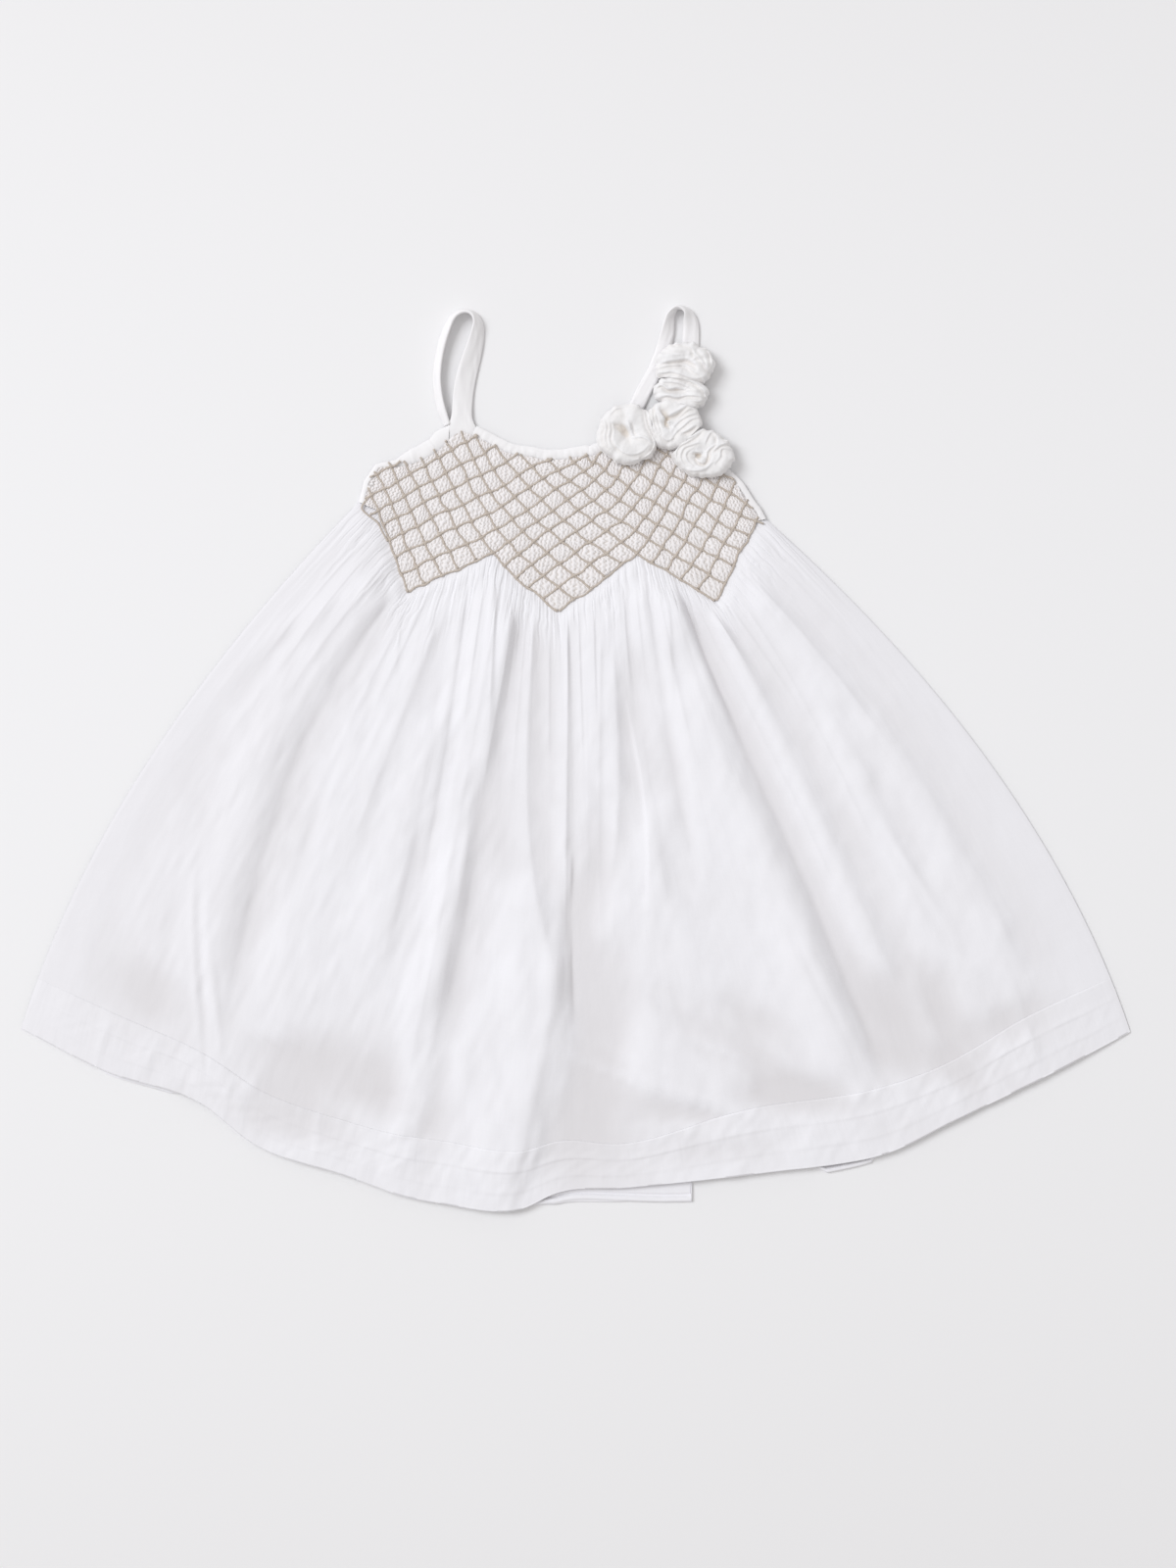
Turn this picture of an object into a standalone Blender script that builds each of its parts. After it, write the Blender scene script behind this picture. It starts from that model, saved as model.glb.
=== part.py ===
"""Toddler's sundress in thin white cotton, laid flat with its front up.

The front is gathered by diamond smocking into a yoke with three points. Its skirt falls from there in folds
to a deep hem. Two straps end in loops, and five gathered rosettes are sewn along the right one.

Units are metres. The surface that the dress lies on is Z = 0, with the origin under the middle of the
dress. +Y runs from the hem to the straps, and +X is the right-hand side as seen from above.

Places on the front are given in the cloth's own measures, which the tables below share:
number   the gather's number, 0 at the centre front, with two gathers of the smocking to each diamond
step     half diamonds up the smocking (negative is up), with 0 just above the three points
fall     the share of the way down the skirt, from 0 under the smocking to 1 at the hem's edge
"""

import math
from collections import namedtuple

import bmesh
import bpy
import numpy as np
from mathutils import Matrix, Vector

MM = 0.001
SEAM_GAP = 0.3
FRONT_CLOTH = 1.5
BACK_CLOTH = 1.2
FRONT_REST = BACK_CLOTH + SEAM_GAP

YOKE_CLOTH = 1.6
PUFF = 1.6
LEFT_END = -16.5
RIGHT_END = 15.5
LAST_CORNER = 15
CORNER_STEP = -4.0
FIRST_POINT = -10
POINT_SPACING = 10

SKIRT_SIDE = 17.0
GATHERS = 85
GATHER_HEIGHT = 1.8
GATHER_LENGTH = 0.1
NARROWEST = 0.44
BODY_LIFT = 3.2
SOFTNESS = 1.2

HEM_CLOTH = 2.0
TUCK_HEIGHT = 0.9

NECK_WIDTH = 5.5
ARMHOLE_WIDTH = 8.0
ARMHOLE_NARROW = 2.6
BINDING_HEIGHT = 2.8
BINDING_EDGE = 0.6
STRAP_CLOTH = 2.0
BACK_SIDE = 16.9
BACK_STITCH = 0.905

# The smocking's columns of stitches, each placed at three heights: steps 0, -5 and -10, in mm.
Column = namedtuple("Column", "number low_x low_y middle_x middle_y high_x high_y")
COLUMNS = [
    Column(-15, -112.1, 108.7, -103.2, 136.8, -95.4, 164.8),
    Column(-10, -87.1, 94.1, -76.4, 126.9, -67.1, 157.3),
    Column(-5, -49.7, 84.2, -42.9, 114.9, -38.2, 145.1),
    Column(0, -9.6, 83.7, -7.5, 114.4, -3.9, 141.4),
    Column(5, 33.0, 84.2, 31.5, 114.4, 28.3, 143.5),
    Column(10, 72.0, 90.0, 62.9, 123.0, 55.4, 151.3),
    Column(15, 105.3, 103.5, 92.6, 129.7, 79.8, 156.5),
]

# Where the bindings cut the smocking off at the armholes, the straps and the neck.
Edge = namedtuple("Edge", "number step")
YOKE_EDGE = [
    Edge(-16.5, -6.0),
    Edge(-16, -7.6),
    Edge(-15, -8.0),
    Edge(-13, -8.9),
    Edge(-12, -9.75),
    Edge(-11, -10.7),
    Edge(-10.5, -11.8),
    Edge(-10, -12.5),
    Edge(-9.5, -12.75),
    Edge(-9, -12.85),
    Edge(-8.5, -12.95),
    Edge(-6.5, -12.95),
    Edge(-4, -12.75),
    Edge(-2.5, -12.9),
    Edge(1, -13.9),
    Edge(5.5, -13.6),
    Edge(9.5, -13.7),
    Edge(11, -13),
    Edge(12.5, -11.5),
    Edge(13.5, -10.4),
    Edge(14.5, -8.5),
    Edge(15, -7.4),
    Edge(15.5, -5.2),
]

# The skirt's lines: each bows out from the smocking towards a point and lands on the hem's edge, in mm.
# The hem's top stitching crosses it at the fall named stitch.
Line = namedtuple("Line", "number bow_x bow_y hem_x hem_y stitch")
LINES = [
    Line(-17, -251.4, -3.6, -294.1, -144.0, 0.905),
    Line(-14, -206.7, 14.6, -248.3, -166.4, 0.917),
    Line(-11, -167.7, 19.8, -198.9, -183.0, 0.936),
    Line(-9, -131.3, -8.8, -169.3, -205.4, 0.928),
    Line(-6.5, -81.9, -40.0, -124.5, -220.5, 0.924),
    Line(-3, -50.7, -40.0, -74.1, -235.6, 0.915),
    Line(-1, -22.1, -50.4, -29.4, -239.2, 0.915),
    Line(0, -4.9, -55.6, -10.7, -230.9, 0.920),
    Line(2, 10.7, -45.2, 27.3, -227.8, 0.935),
    Line(5, 48.1, -29.6, 99.1, -220.0, 0.910),
    Line(7.5, 89.7, -24.4, 159.9, -211.1, 0.909),
    Line(10, 139.1, -8.8, 201.5, -191.9, 0.922),
    Line(13, 196.3, 4.2, 245.7, -170.6, 0.907),
    Line(17, 247.3, -4.2, 294.1, -145.6, 0.897),
]

# The largest folds, from the left. Each runs past three gather numbers (under the smocking, half way down
# and at the hem), between two falls. Its widths to the left and right and its height are in mm. A trough's
# height is negative.
Fold = namedtuple("Fold", "top half hem start end left right height")
FOLDS = [
    Fold(-14.6, -15.6, -15.9, 0.05, 0.88, 9, 9, -2.5),
    Fold(-13.6, -14.8, -14.8, 0.20, 0.75, 8, 10, 2.0),
    Fold(-12.3, -12.6, -12.8, 0.10, 0.80, 16, 14, 1.5),
    Fold(-10.5, -11.0, -10.9, 0.04, 0.85, 16, 6, -4.8),
    Fold(-9.9, -10.3, -9.8, 0.25, 0.95, 4, 12, 4.6),
    Fold(-7.3, -8.4, -8.6, 0.05, 0.62, 13, 11, -3.0),
    Fold(-7.9, -8.0, -8.0, 0.80, 0.97, 40, 40, -2.4),
    Fold(-6.2, -5.9, -6.9, 0.03, 0.85, 7, 5, -3.6),
    Fold(-5.6, -5.0, -6.2, 0.05, 0.80, 5, 10, 3.4),
    Fold(-2.4, -3.4, -3.6, 0.03, 0.92, 3, 13, -5.6),
    Fold(-3.6, -3.7, -3.8, 0.06, 0.30, 4, 5, -2.0),
    Fold(-1.4, -1.8, -1.6, 0.10, 0.80, 9, 6, 3.8),
    Fold(-1.4, -1.2, -0.8, 0.05, 1.00, 3, 10, -3.6),
    Fold(-0.3, 0.1, 0.2, 0.03, 0.45, 6, 5, 2.4),
    Fold(0.5, 0.3, 0.3, 0.05, 1.00, 3, 9, -3.8),
    Fold(2.1, 3.3, 2.9, 0.05, 0.70, 7, 4, -2.6),
    Fold(2.6, 3.8, 3.2, 0.03, 0.75, 4, 11, 3.6),
    Fold(5.1, 4.8, 5.0, 0.05, 0.62, 6, 4, -2.4),
    Fold(5.6, 5.2, 5.3, 0.04, 0.66, 4, 10, 3.0),
    Fold(2.0, 1.6, 1.8, 0.45, 0.95, 12, 16, 2.2),
    Fold(4.2, 4.2, 4.6, 0.60, 0.95, 16, 14, -2.0),
    Fold(7.4, 6.6, 6.4, 0.05, 0.42, 8, 8, -2.6),
    Fold(6.4, 6.3, 6.2, 0.50, 0.92, 16, 14, 2.0),
    Fold(8.2, 8.0, 8.0, 0.04, 0.93, 6, 5, -5.0),
    Fold(8.8, 8.7, 8.8, 0.03, 0.95, 3, 14, 6.4),
    Fold(9.9, 9.6, 10.3, 0.08, 0.92, 7, 7, -3.6),
    Fold(10.6, 10.6, 11.2, 0.08, 0.80, 9, 10, 2.2),
    Fold(11.8, 11.5, 11.4, 0.08, 0.65, 7, 8, -2.8),
    Fold(12.6, 12.6, 13.0, 0.12, 0.85, 8, 3, 2.2),
    Fold(13.0, 13.0, 13.8, 0.10, 0.86, 3, 17, -4.2),
    Fold(14.8, 15.0, 15.4, 0.10, 0.90, 12, 12, 1.8),
]

# How far the back's hem lies past the front's hem, in mm. It shows below it in three places.
Peek = namedtuple("Peek", "number past")
BACK_HEM = [
    Peek(-17, -1.5),
    Peek(-14.6, -1.5),
    Peek(-14, 1.5),
    Peek(-12, 1.5),
    Peek(-11.4, -1.5),
    Peek(-0.8, -1.5),
    Peek(-0.6, 1),
    Peek(0, 6),
    Peek(1, 7),
    Peek(2, 7.5),
    Peek(2.8, 9.5),
    Peek(3.4, 11),
    Peek(3.5, -1.5),
    Peek(6.1, -1.5),
    Peek(6.3, 4),
    Peek(7.3, 3),
    Peek(7.5, -1.5),
    Peek(17, -1.5),
]

# Each strap from the front, round its loop, to the back. Roll turns it from lying flat (0) to standing on
# its edge (90) and over. Lift is its lower edge's height over the surface. All but roll are in mm.
Turn = namedtuple("Turn", "x y width roll lift")
LEFT_STRAP = [
    Turn(-60.5, 172.6, 11.5, 0, 1.8),
    Turn(-60.4, 181.0, 10.5, 6, 1.0),
    Turn(-59.8, 191.4, 10.8, 12, 0.2),
    Turn(-58.1, 201.8, 11.0, 18, 0.0),
    Turn(-55.2, 212.2, 10.4, 28, 0.0),
    Turn(-52.4, 222.6, 9.2, 42, 0.0),
    Turn(-51.7, 230.0, 8.0, 62, 0.0),
    Turn(-54.2, 234.8, 8.0, 82, 0.0),
    Turn(-59.0, 236.4, 8.0, 90, 0.0),
    Turn(-64.5, 233.6, 8.0, 95, 0.0),
    Turn(-68.2, 227.0, 8.0, 100, 0.0),
    Turn(-71.6, 216.0, 8.0, 104, 0.0),
    Turn(-73.4, 204.0, 8.0, 108, 0.0),
    Turn(-73.0, 194.0, 8.0, 112, 0.0),
    Turn(-71.2, 185.0, 8.0, 116, 0.0),
    Turn(-69.2, 177.4, 8.0, 120, 0.0),
]
RIGHT_STRAP = [
    Turn(54.5, 170.6, 11.0, 0, 1.8),
    Turn(57.0, 181.0, 9.5, 0, 0.6),
    Turn(58.6, 194.0, 9.0, 0, 0.0),
    Turn(60.0, 207.0, 9.0, 2, 0.0),
    Turn(60.8, 220.0, 9.0, 3, 0.0),
    Turn(61.0, 230.0, 8.5, 20, 0.0),
    Turn(59.0, 236.4, 8.0, 60, 0.0),
    Turn(54.0, 238.2, 8.0, 90, 0.0),
    Turn(50.4, 234.0, 8.0, 120, 0.0),
    Turn(49.0, 227.0, 8.0, 146, 0.0),
    Turn(46.6, 217.0, 8.0, 170, 0.0),
    Turn(42.0, 205.0, 8.0, 177, 0.0),
    Turn(36.0, 194.0, 8.0, 178, 0.0),
    Turn(31.4, 184.0, 8.0, 178, 0.0),
]

# The rosettes, each an oval of gathered cloth round an eye. Places and sizes are in mm, turn in degrees.
Rosette = namedtuple("Rosette", "x y half_width half_length turn base height eye_x eye_y")
ROSETTES = {
    "rosette_neck": Rosette(27.8, 170.6, 16.0, 15.2, 10, 5.1, 8.5, -2.5, 1.0),
    "rosette_corner": Rosette(52.3, 175.6, 14.5, 13.0, 0, 5.1, 9.0, -3.5, 1.5),
    "rosette_armhole": Rosette(67.0, 160.4, 16.0, 11.5, -12, 5.1, 8.0, -2.0, -2.0),
    "rosette_strap_low": Rosette(56.0, 193.2, 14.0, 8.0, -8, 3.0, 10.0, 0.0, 1.0),
    "rosette_strap_high": Rosette(57.6, 208.2, 15.5, 11.0, 0, 3.2, 11.0, 6.0, 0.0),
}

# A rosette's section from its eye, over the inner and the outer ruffle, to its flat underside. Reach and
# height are shares of the rosette's own, and ruffle is how far the waves stand out, in mm.
Ring = namedtuple("Ring", "reach height ruffle waves")
ROSETTE_RINGS = [
    Ring(0.00, 0.35, 0.0, 6),
    Ring(0.13, 0.58, 0.2, 6),
    Ring(0.28, 0.96, 0.6, 6),
    Ring(0.42, 1.00, 0.8, 6),
    Ring(0.54, 0.74, 0.5, 6),
    Ring(0.70, 0.82, 0.8, 10),
    Ring(0.86, 0.68, 1.1, 10),
    Ring(0.97, 0.42, 1.2, 10),
    Ring(1.00, 0.16, 0.8, 10),
    Ring(0.90, 0.00, 0.0, 10),
    Ring(0.00, 0.00, 0.0, 10),
]
ROSETTE_SIDES = 30


def smooth(rows, number):
    """The values of a table at any number: a smooth curve through its rows, straight on past its ends."""
    knots = [row[0] for row in rows]
    values = np.array([row[1:] for row in rows])
    gaps = np.diff(knots)[:, None]
    slopes = np.diff(values, axis=0) / gaps
    middle = (slopes[:-1] * gaps[1:] + slopes[1:] * gaps[:-1]) / (gaps[1:] + gaps[:-1])
    tangents = np.vstack([slopes[:1], middle, slopes[-1:]])
    if number <= knots[0]:
        return values[0] + tangents[0] * (number - knots[0])
    if number >= knots[-1]:
        return values[-1] + tangents[-1] * (number - knots[-1])
    i = int(np.searchsorted(knots, number, side="right")) - 1
    gap = gaps[i, 0]
    t = (number - knots[i]) / gap
    return (
        (2 * t**3 - 3 * t**2 + 1) * values[i]
        + (t**3 - 2 * t**2 + t) * gap * tangents[i]
        + (3 * t**2 - 2 * t**3) * values[i + 1]
        + (t**3 - t**2) * gap * tangents[i + 1]
    )


def straight(rows, number):
    """A table's second value at any number, on straight lines between its rows."""
    return float(np.interp(number, [row[0] for row in rows], [row[1] for row in rows]))


def ease(value):
    """From 0 to 1 with soft ends."""
    t = min(max(value, 0.0), 1.0)
    return t * t * (3 - 2 * t)


def smocked(number, step):
    """The place of a point of the smocking, seen from above."""
    row = smooth(COLUMNS, number)
    t = -step / 5
    low = row[0:2] * (t - 1) * (t - 2) / 2
    middle = row[2:4] * t * (t - 2)
    high = row[4:6] * t * (t - 1) / 2
    return low - middle + high


def lower_step(number):
    """The step where the smocking ends below: in three points, and level towards each armhole."""
    if abs(number) > LAST_CORNER:
        return CORNER_STEP
    return 1 - min(abs(number - FIRST_POINT - POINT_SPACING * i) for i in range(3))


def seam_way(side):
    """The smocking's lower corner at one armhole, and the direction from there to the side seam's top end."""
    end = RIGHT_END if side > 0 else LEFT_END
    corner = smocked(end, CORNER_STEP)
    way = corner - smocked(end - side, CORNER_STEP)
    return corner, way / np.hypot(*way)


def skirt_top(number):
    """The place where a line of the skirt leaves the smocking or, past it, the armhole's binding."""
    side = 1 if number > 0 else -1
    end = abs(RIGHT_END if side > 0 else LEFT_END)
    if abs(number) <= end:
        return smocked(number, lower_step(number))
    corner, way = seam_way(side)
    return corner + way * ARMHOLE_NARROW * (abs(number) - end) / (SKIRT_SIDE - end)


def skirt(number, fall):
    """The place of a point of the skirt, seen from above."""
    row = smooth(LINES, number)
    top = skirt_top(number)
    return top * (1 - fall) ** 2 + row[0:2] * 2 * fall * (1 - fall) + row[2:4] * fall**2


def down(number, fall):
    """The direction of a skirt line, and how far it goes for each unit of fall, in mm."""
    step = 0.01
    way = (skirt(number, fall + step) - skirt(number, fall - step)) / (2 * step)
    length = float(np.hypot(*way))
    return way / length, length


def fold_height(fold, number, fall, spread):
    """One fold's height at a point. Spread is the distance between two gather numbers there."""
    if not fold.start < fall < fold.end + 0.08:
        return 0.0
    course = np.interp(fall, (0, 0.5, 0.9), (fold.top, fold.half, fold.hem))
    apart = (number - course) * spread
    width = max(fold.left if apart < 0 else fold.right, NARROWEST * spread)
    fade = ease((fall - fold.start) / 0.08) * ease((fold.end + 0.08 - fall) / 0.16)
    return fold.height * fade * math.exp(-((apart / width) ** 2))


def front_rise(number, fall):
    """How high the underside of the skirt's front lies, from its folds. It never goes below its rest."""
    spread = float(np.hypot(*(skirt(number + 0.5, fall) - skirt(number - 0.5, fall))))
    side = ease((SKIRT_SIDE - abs(number)) / 1.5)
    lift = BODY_LIFT * ease(fall / 0.1) * side
    lift *= 1 - 0.35 * ease((fall - 0.8) / 0.2)
    for fold in FOLDS:
        lift += fold_height(fold, number, fall, spread) * side
    return FRONT_REST + SOFTNESS * math.log1p(math.exp(lift / SOFTNESS))


def gather(number, fall):
    """The height of the small gathers just below the smocking, uneven from one to the next."""
    wave = 0.5 - 0.5 * math.cos(2 * math.pi * GATHERS * (number + SKIRT_SIDE) / (2 * SKIRT_SIDE))
    uneven = 0.8 + 0.2 * math.sin(2.3 * number) * math.sin(0.9 * number + 1)
    reach = GATHER_LENGTH * (1 + 0.4 * math.sin(1.7 * number))
    return GATHER_HEIGHT * wave * uneven * ease(1 - fall / reach) ** 0.7


def material(name, colour, roughness):
    """A plain cloth finish."""
    made = bpy.data.materials.new(name)
    made.use_nodes = True
    shader = made.node_tree.nodes["Principled BSDF"]
    shader.inputs["Base Color"].default_value = (*colour, 1)
    shader.inputs["Roughness"].default_value = roughness
    shader.inputs["Metallic"].default_value = 0
    return made


def keep(name, bm, finish, place=(0, 0, 0), turn=0):
    """Makes the dress's next piece from a mesh in mm, closed and facing out."""
    bmesh.ops.recalc_face_normals(bm, faces=bm.faces)
    bmesh.ops.scale(bm, vec=(MM, MM, MM), verts=bm.verts)
    mesh = bpy.data.meshes.new(name)
    bm.to_mesh(mesh)
    bm.free()
    mesh.shade_smooth()
    mesh.set_sharp_from_angle(angle=math.radians(50))
    mesh.materials.append(finish)
    piece = bpy.data.objects.new(name, mesh)
    piece.location = [value * MM for value in place]
    piece.rotation_euler.z = math.radians(turn)
    piece.parent = dress
    pieces.objects.link(piece)
    return piece


def grid(columns, rows):
    """A flat grid over the unit square, to be placed as cloth."""
    bm = bmesh.new()
    bmesh.ops.create_grid(bm, x_segments=columns, y_segments=rows, size=0.5)
    reach = max(vert.co.x for vert in bm.verts)
    for vert in bm.verts:
        vert.co = (0.5 + 0.5 * vert.co.x / reach, 0.5 + 0.5 * vert.co.y / reach, 0)
    return bm


def wall(bm, place):
    """Doubles a flat grid into a closed wall. place(u, v, outer) gives each point's X, Y and Z in mm."""
    made = bmesh.ops.extrude_face_region(bm, geom=bm.faces[:])["geom"]
    outer = {item for item in made if isinstance(item, bmesh.types.BMVert)}
    for vert in bm.verts:
        vert.co = place(vert.co.x, vert.co.y, vert in outer)
    bmesh.ops.triangulate(bm, faces=[face for face in bm.faces if len(face.verts) > 3])


def split_on_stitches(bm):
    """Cuts each square of the smocking's grid, in steps of half a gather, along the diamonds' edges.

    A square with no edge of a diamond across it is cut so that the diamond's middle stays whole.
    """
    for face in [face for face in bm.faces if len(face.verts) == 4]:
        corners = sorted(face.verts, key=lambda vert: (round(vert.co.x, 3), round(vert.co.y, 3)))
        places = [(round(vert.co.x, 2), round(vert.co.y, 2)) for vert in corners]
        rising = (places[0][0] - places[0][1]) % 2 == 1
        falling = (places[1][0] + places[1][1]) % 2 == 1
        middle = any(number % 1 == 0 and (number + step) % 2 == 0 for number, step in places[1:3])
        if rising or (middle and not falling):
            bmesh.utils.face_split(face, corners[0], corners[3])
        else:
            bmesh.utils.face_split(face, corners[1], corners[2])


def make_yoke(finish):
    """The smocked part: each diamond stands up as a small pillow over a plain inside."""
    step_top = -14.5
    step_low = 1.0
    sliver = 0.2
    columns = round((RIGHT_END - LEFT_END) / 0.5)
    bm = grid(columns, round((step_low - step_top) / 0.5))
    for vert in bm.verts:
        number = LEFT_END + (RIGHT_END - LEFT_END) * vert.co.x
        step = step_top + (step_low - step_top) * vert.co.y
        top = straight(YOKE_EDGE, number)
        if step < top + sliver:
            step = top
        vert.co = (number, min(step, lower_step(number)), 0)
    bmesh.ops.remove_doubles(bm, verts=bm.verts, dist=1e-4)
    split_on_stitches(bm)

    def place(number, step, outer):
        x, y = smocked(number, step)
        if not outer:
            return x, y, FRONT_REST
        pillow = math.cos(math.pi * (number + step) / 2) * math.cos(math.pi * (number - step) / 2)
        return x, y, FRONT_REST + YOKE_CLOTH + PUFF * abs(pillow) ** 0.5

    wall(bm, place)
    inside = [edge for edge in bm.edges if max(vert.co.z for vert in edge.verts) < FRONT_REST + 0.01]
    corners = {vert for edge in inside for vert in edge.verts}
    bmesh.ops.dissolve_limit(bm, angle_limit=0.01, verts=list(corners), edges=inside)
    keep("front_yoke", bm, finish)


def make_skirt(finish):
    """The front's skirt, from the smocking to the hem's stitching, with its gathers and folds.

    Both edges run at a slant to the skirt's lines, so along a line each gap is longer than across the seam.
    """
    slant_above = 1.6
    slant_below = 1.4
    falls = (0, 0.012, 0.03, 0.055, 0.09, 0.14, 0.2, 0.28, 0.37, 0.47, 0.57, 0.68, 0.79, 0.9, 1)
    gathered_rows = 4
    rows = len(falls) - 1
    bm = grid(GATHERS, rows)
    across = [
        edge
        for edge in bm.edges
        if abs(edge.verts[0].co.y - edge.verts[1].co.y) < 1e-6
        and edge.verts[0].co.y < (gathered_rows + 0.5) / rows
    ]
    bmesh.ops.subdivide_edges(bm, edges=across, cuts=1, use_grid_fill=True)

    def place(u, v, outer):
        number = SKIRT_SIDE * (2 * u - 1)
        stitch = smooth(LINES, number)[4]
        length = down(number, 0.5)[1]
        start = slant_above * SEAM_GAP / length
        end = stitch - slant_below * SEAM_GAP / length
        fall = start + (end - start) * np.interp(v * rows, range(rows + 1), falls)
        x, y = skirt(number, fall)
        rise = front_rise(number, fall)
        if outer:
            rise += FRONT_CLOTH + gather(number, fall)
        return x, y, rise

    wall(bm, place)
    keep("front_skirt", bm, finish)


def make_hem(finish):
    """The front's turned hem, thicker than the skirt, with a tuck at a third and one near the edge."""
    depths = (0, 0.3, 0.37, 0.44, 0.82, 1)
    tucks = (0, 0, TUCK_HEIGHT, 0, TUCK_HEIGHT, 0)
    rows = len(depths) - 1
    bm = grid(GATHERS, rows)

    def place(u, v, outer):
        number = SKIRT_SIDE * (2 * u - 1)
        stitch = smooth(LINES, number)[4]
        depth = np.interp(v * rows, range(rows + 1), depths)
        fall = stitch + (1 - stitch) * depth
        x, y = skirt(number, fall)
        rise = front_rise(number, fall)
        if outer:
            rise += HEM_CLOTH + np.interp(depth, depths, tucks)
        return x, y, rise

    wall(bm, place)
    keep("front_hem_band", bm, finish)


def yoke_edge(first, last, corner=0):
    """The smocking's upper edge between two gather numbers, in mm. Corner adds an armhole's lower corner."""
    line = [smocked(number, straight(YOKE_EDGE, number)) for number in np.arange(first, last + 0.1, 0.5)]
    if corner < 0:
        return [smocked(LEFT_END, CORNER_STEP), smocked(LEFT_END, CORNER_STEP - 1), *line]
    if corner > 0:
        return [*line, smocked(RIGHT_END, CORNER_STEP)]
    return line


def make_binding(name, line, widths, finish, first_way=None, last_way=None):
    """A rounded strip along a line of the smocking's edge, its widths spread evenly over its points.

    A way is the direction in which one of its ends is cut. Without one it is cut square.
    """
    ways = [after - before for before, after in zip(line[:1] + line[:-1], line[1:] + line[-1:])]
    outward = [np.array((-way[1], way[0])) / np.hypot(*way) for way in ways]
    if first_way is not None:
        outward[0] = first_way
    if last_way is not None:
        outward[-1] = last_way
    last = len(line) - 1
    bm = grid(last, 4)

    def place(u, v, outer):
        i = round(u * last)
        width = np.interp(u, np.linspace(0, 1, len(widths)), widths)
        x, y = line[i] + outward[i] * (SEAM_GAP + (width - SEAM_GAP) * v)
        crown = math.sin(math.pi * (0.12 + 0.76 * v))
        top = FRONT_REST + BINDING_EDGE + (BINDING_HEIGHT - BINDING_EDGE) * crown
        return x, y, top if outer else FRONT_REST

    wall(bm, place)
    keep(name, bm, finish)


def make_strap(name, turns, finish):
    """A flat tube of cloth that lies on the surface and loops from the front to the back."""
    table = [(stage, *turn) for stage, turn in enumerate(turns)]
    last = len(turns) - 1
    bm = grid(2 * last, 2)

    def place(u, v, outer):
        stage = u * last
        x, y, width, roll, lift = smooth(table, stage)
        way = smooth(table, stage + 0.05)[:2] - smooth(table, stage - 0.05)[:2]
        way = Vector((way[0], way[1], 0)).normalized()
        angle = math.radians(roll)
        across = Vector((way.y, -way.x, 0)) * math.cos(angle) - Vector((0, 0, math.sin(angle)))
        face = across.cross(way)
        middle = lift + (abs(math.sin(angle)) * width + abs(math.cos(angle)) * STRAP_CLOTH) / 2
        side = 0.5 if outer else -0.5
        return Vector((x, y, middle)) + across * (v - 0.5) * width + face * STRAP_CLOTH * side

    wall(bm, place)
    keep(name, bm, finish)


def pressed(row):
    """The upright planes where a rosette meets its neighbours: each one's direction and distance."""
    planes = []
    for other in ROSETTES.values():
        apart = Vector((other.x - row.x, other.y - row.y, 0))
        if other is row or apart.length > row.half_width + other.half_width:
            continue
        towards = apart.normalized()
        own, others = (
            math.hypot(one.half_width * towards.x, one.half_length * towards.y) for one in (row, other)
        )
        planes.append((towards, apart.length * own / (own + others) - SEAM_GAP))
    return planes


def make_rosette(name, row, finish):
    """Gathered cloth in two ruffles round an eye, flat below, and pressed flat against its neighbours."""
    bm = bmesh.new()
    rings = len(ROSETTE_RINGS) - 1
    bmesh.ops.create_uvsphere(bm, u_segments=ROSETTE_SIDES, v_segments=rings, radius=1)
    turn = Matrix.Rotation(math.radians(row.turn), 3, "Z")
    planes = pressed(row)
    for vert in bm.verts:
        number = round(math.acos(max(-1, min(1, vert.co.z))) / math.pi * rings)
        ring = ROSETTE_RINGS[number]
        angle = math.atan2(vert.co.y, vert.co.x)
        wave = ring.ruffle * math.cos(ring.waves * angle + 1.5 * math.sin(angle + row.x))
        out = Vector((math.cos(angle), math.sin(angle), 0))
        spot = Vector((out.x * row.half_width, out.y * row.half_length, 0)) * ring.reach
        spot = turn @ (spot + out * wave * 0.7)
        spot += Vector((row.eye_x, row.eye_y, 0)) * max(0, 1 - ring.reach)
        for towards, limit in planes:
            spot -= towards * max(0, spot.dot(towards) - limit)
        vert.co = (spot.x, spot.y, max(ring.height * row.height + wave, 0))
    bmesh.ops.triangulate(bm, faces=[face for face in bm.faces if len(face.verts) > 3])
    keep(name, bm, finish, place=(row.x, row.y, row.base))


def make_flat_piece(name, outline, finish):
    """A piece of the back: a flat outline on the surface, as thick as its cloth."""
    curve = bpy.data.curves.new(name, "CURVE")
    curve.dimensions = "2D"
    curve.fill_mode = "BOTH"
    curve.extrude = BACK_CLOTH / 2 * MM
    spline = curve.splines.new("POLY")
    spline.points.add(len(outline) - 1)
    for point, (x, y) in zip(spline.points, outline):
        point.co = (x * MM, y * MM, 0, 1)
    spline.use_cyclic_u = True
    curve.materials.append(finish)
    piece = bpy.data.objects.new(name, curve)
    piece.location.z = BACK_CLOTH / 2 * MM
    piece.parent = dress
    pieces.objects.link(piece)


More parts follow.
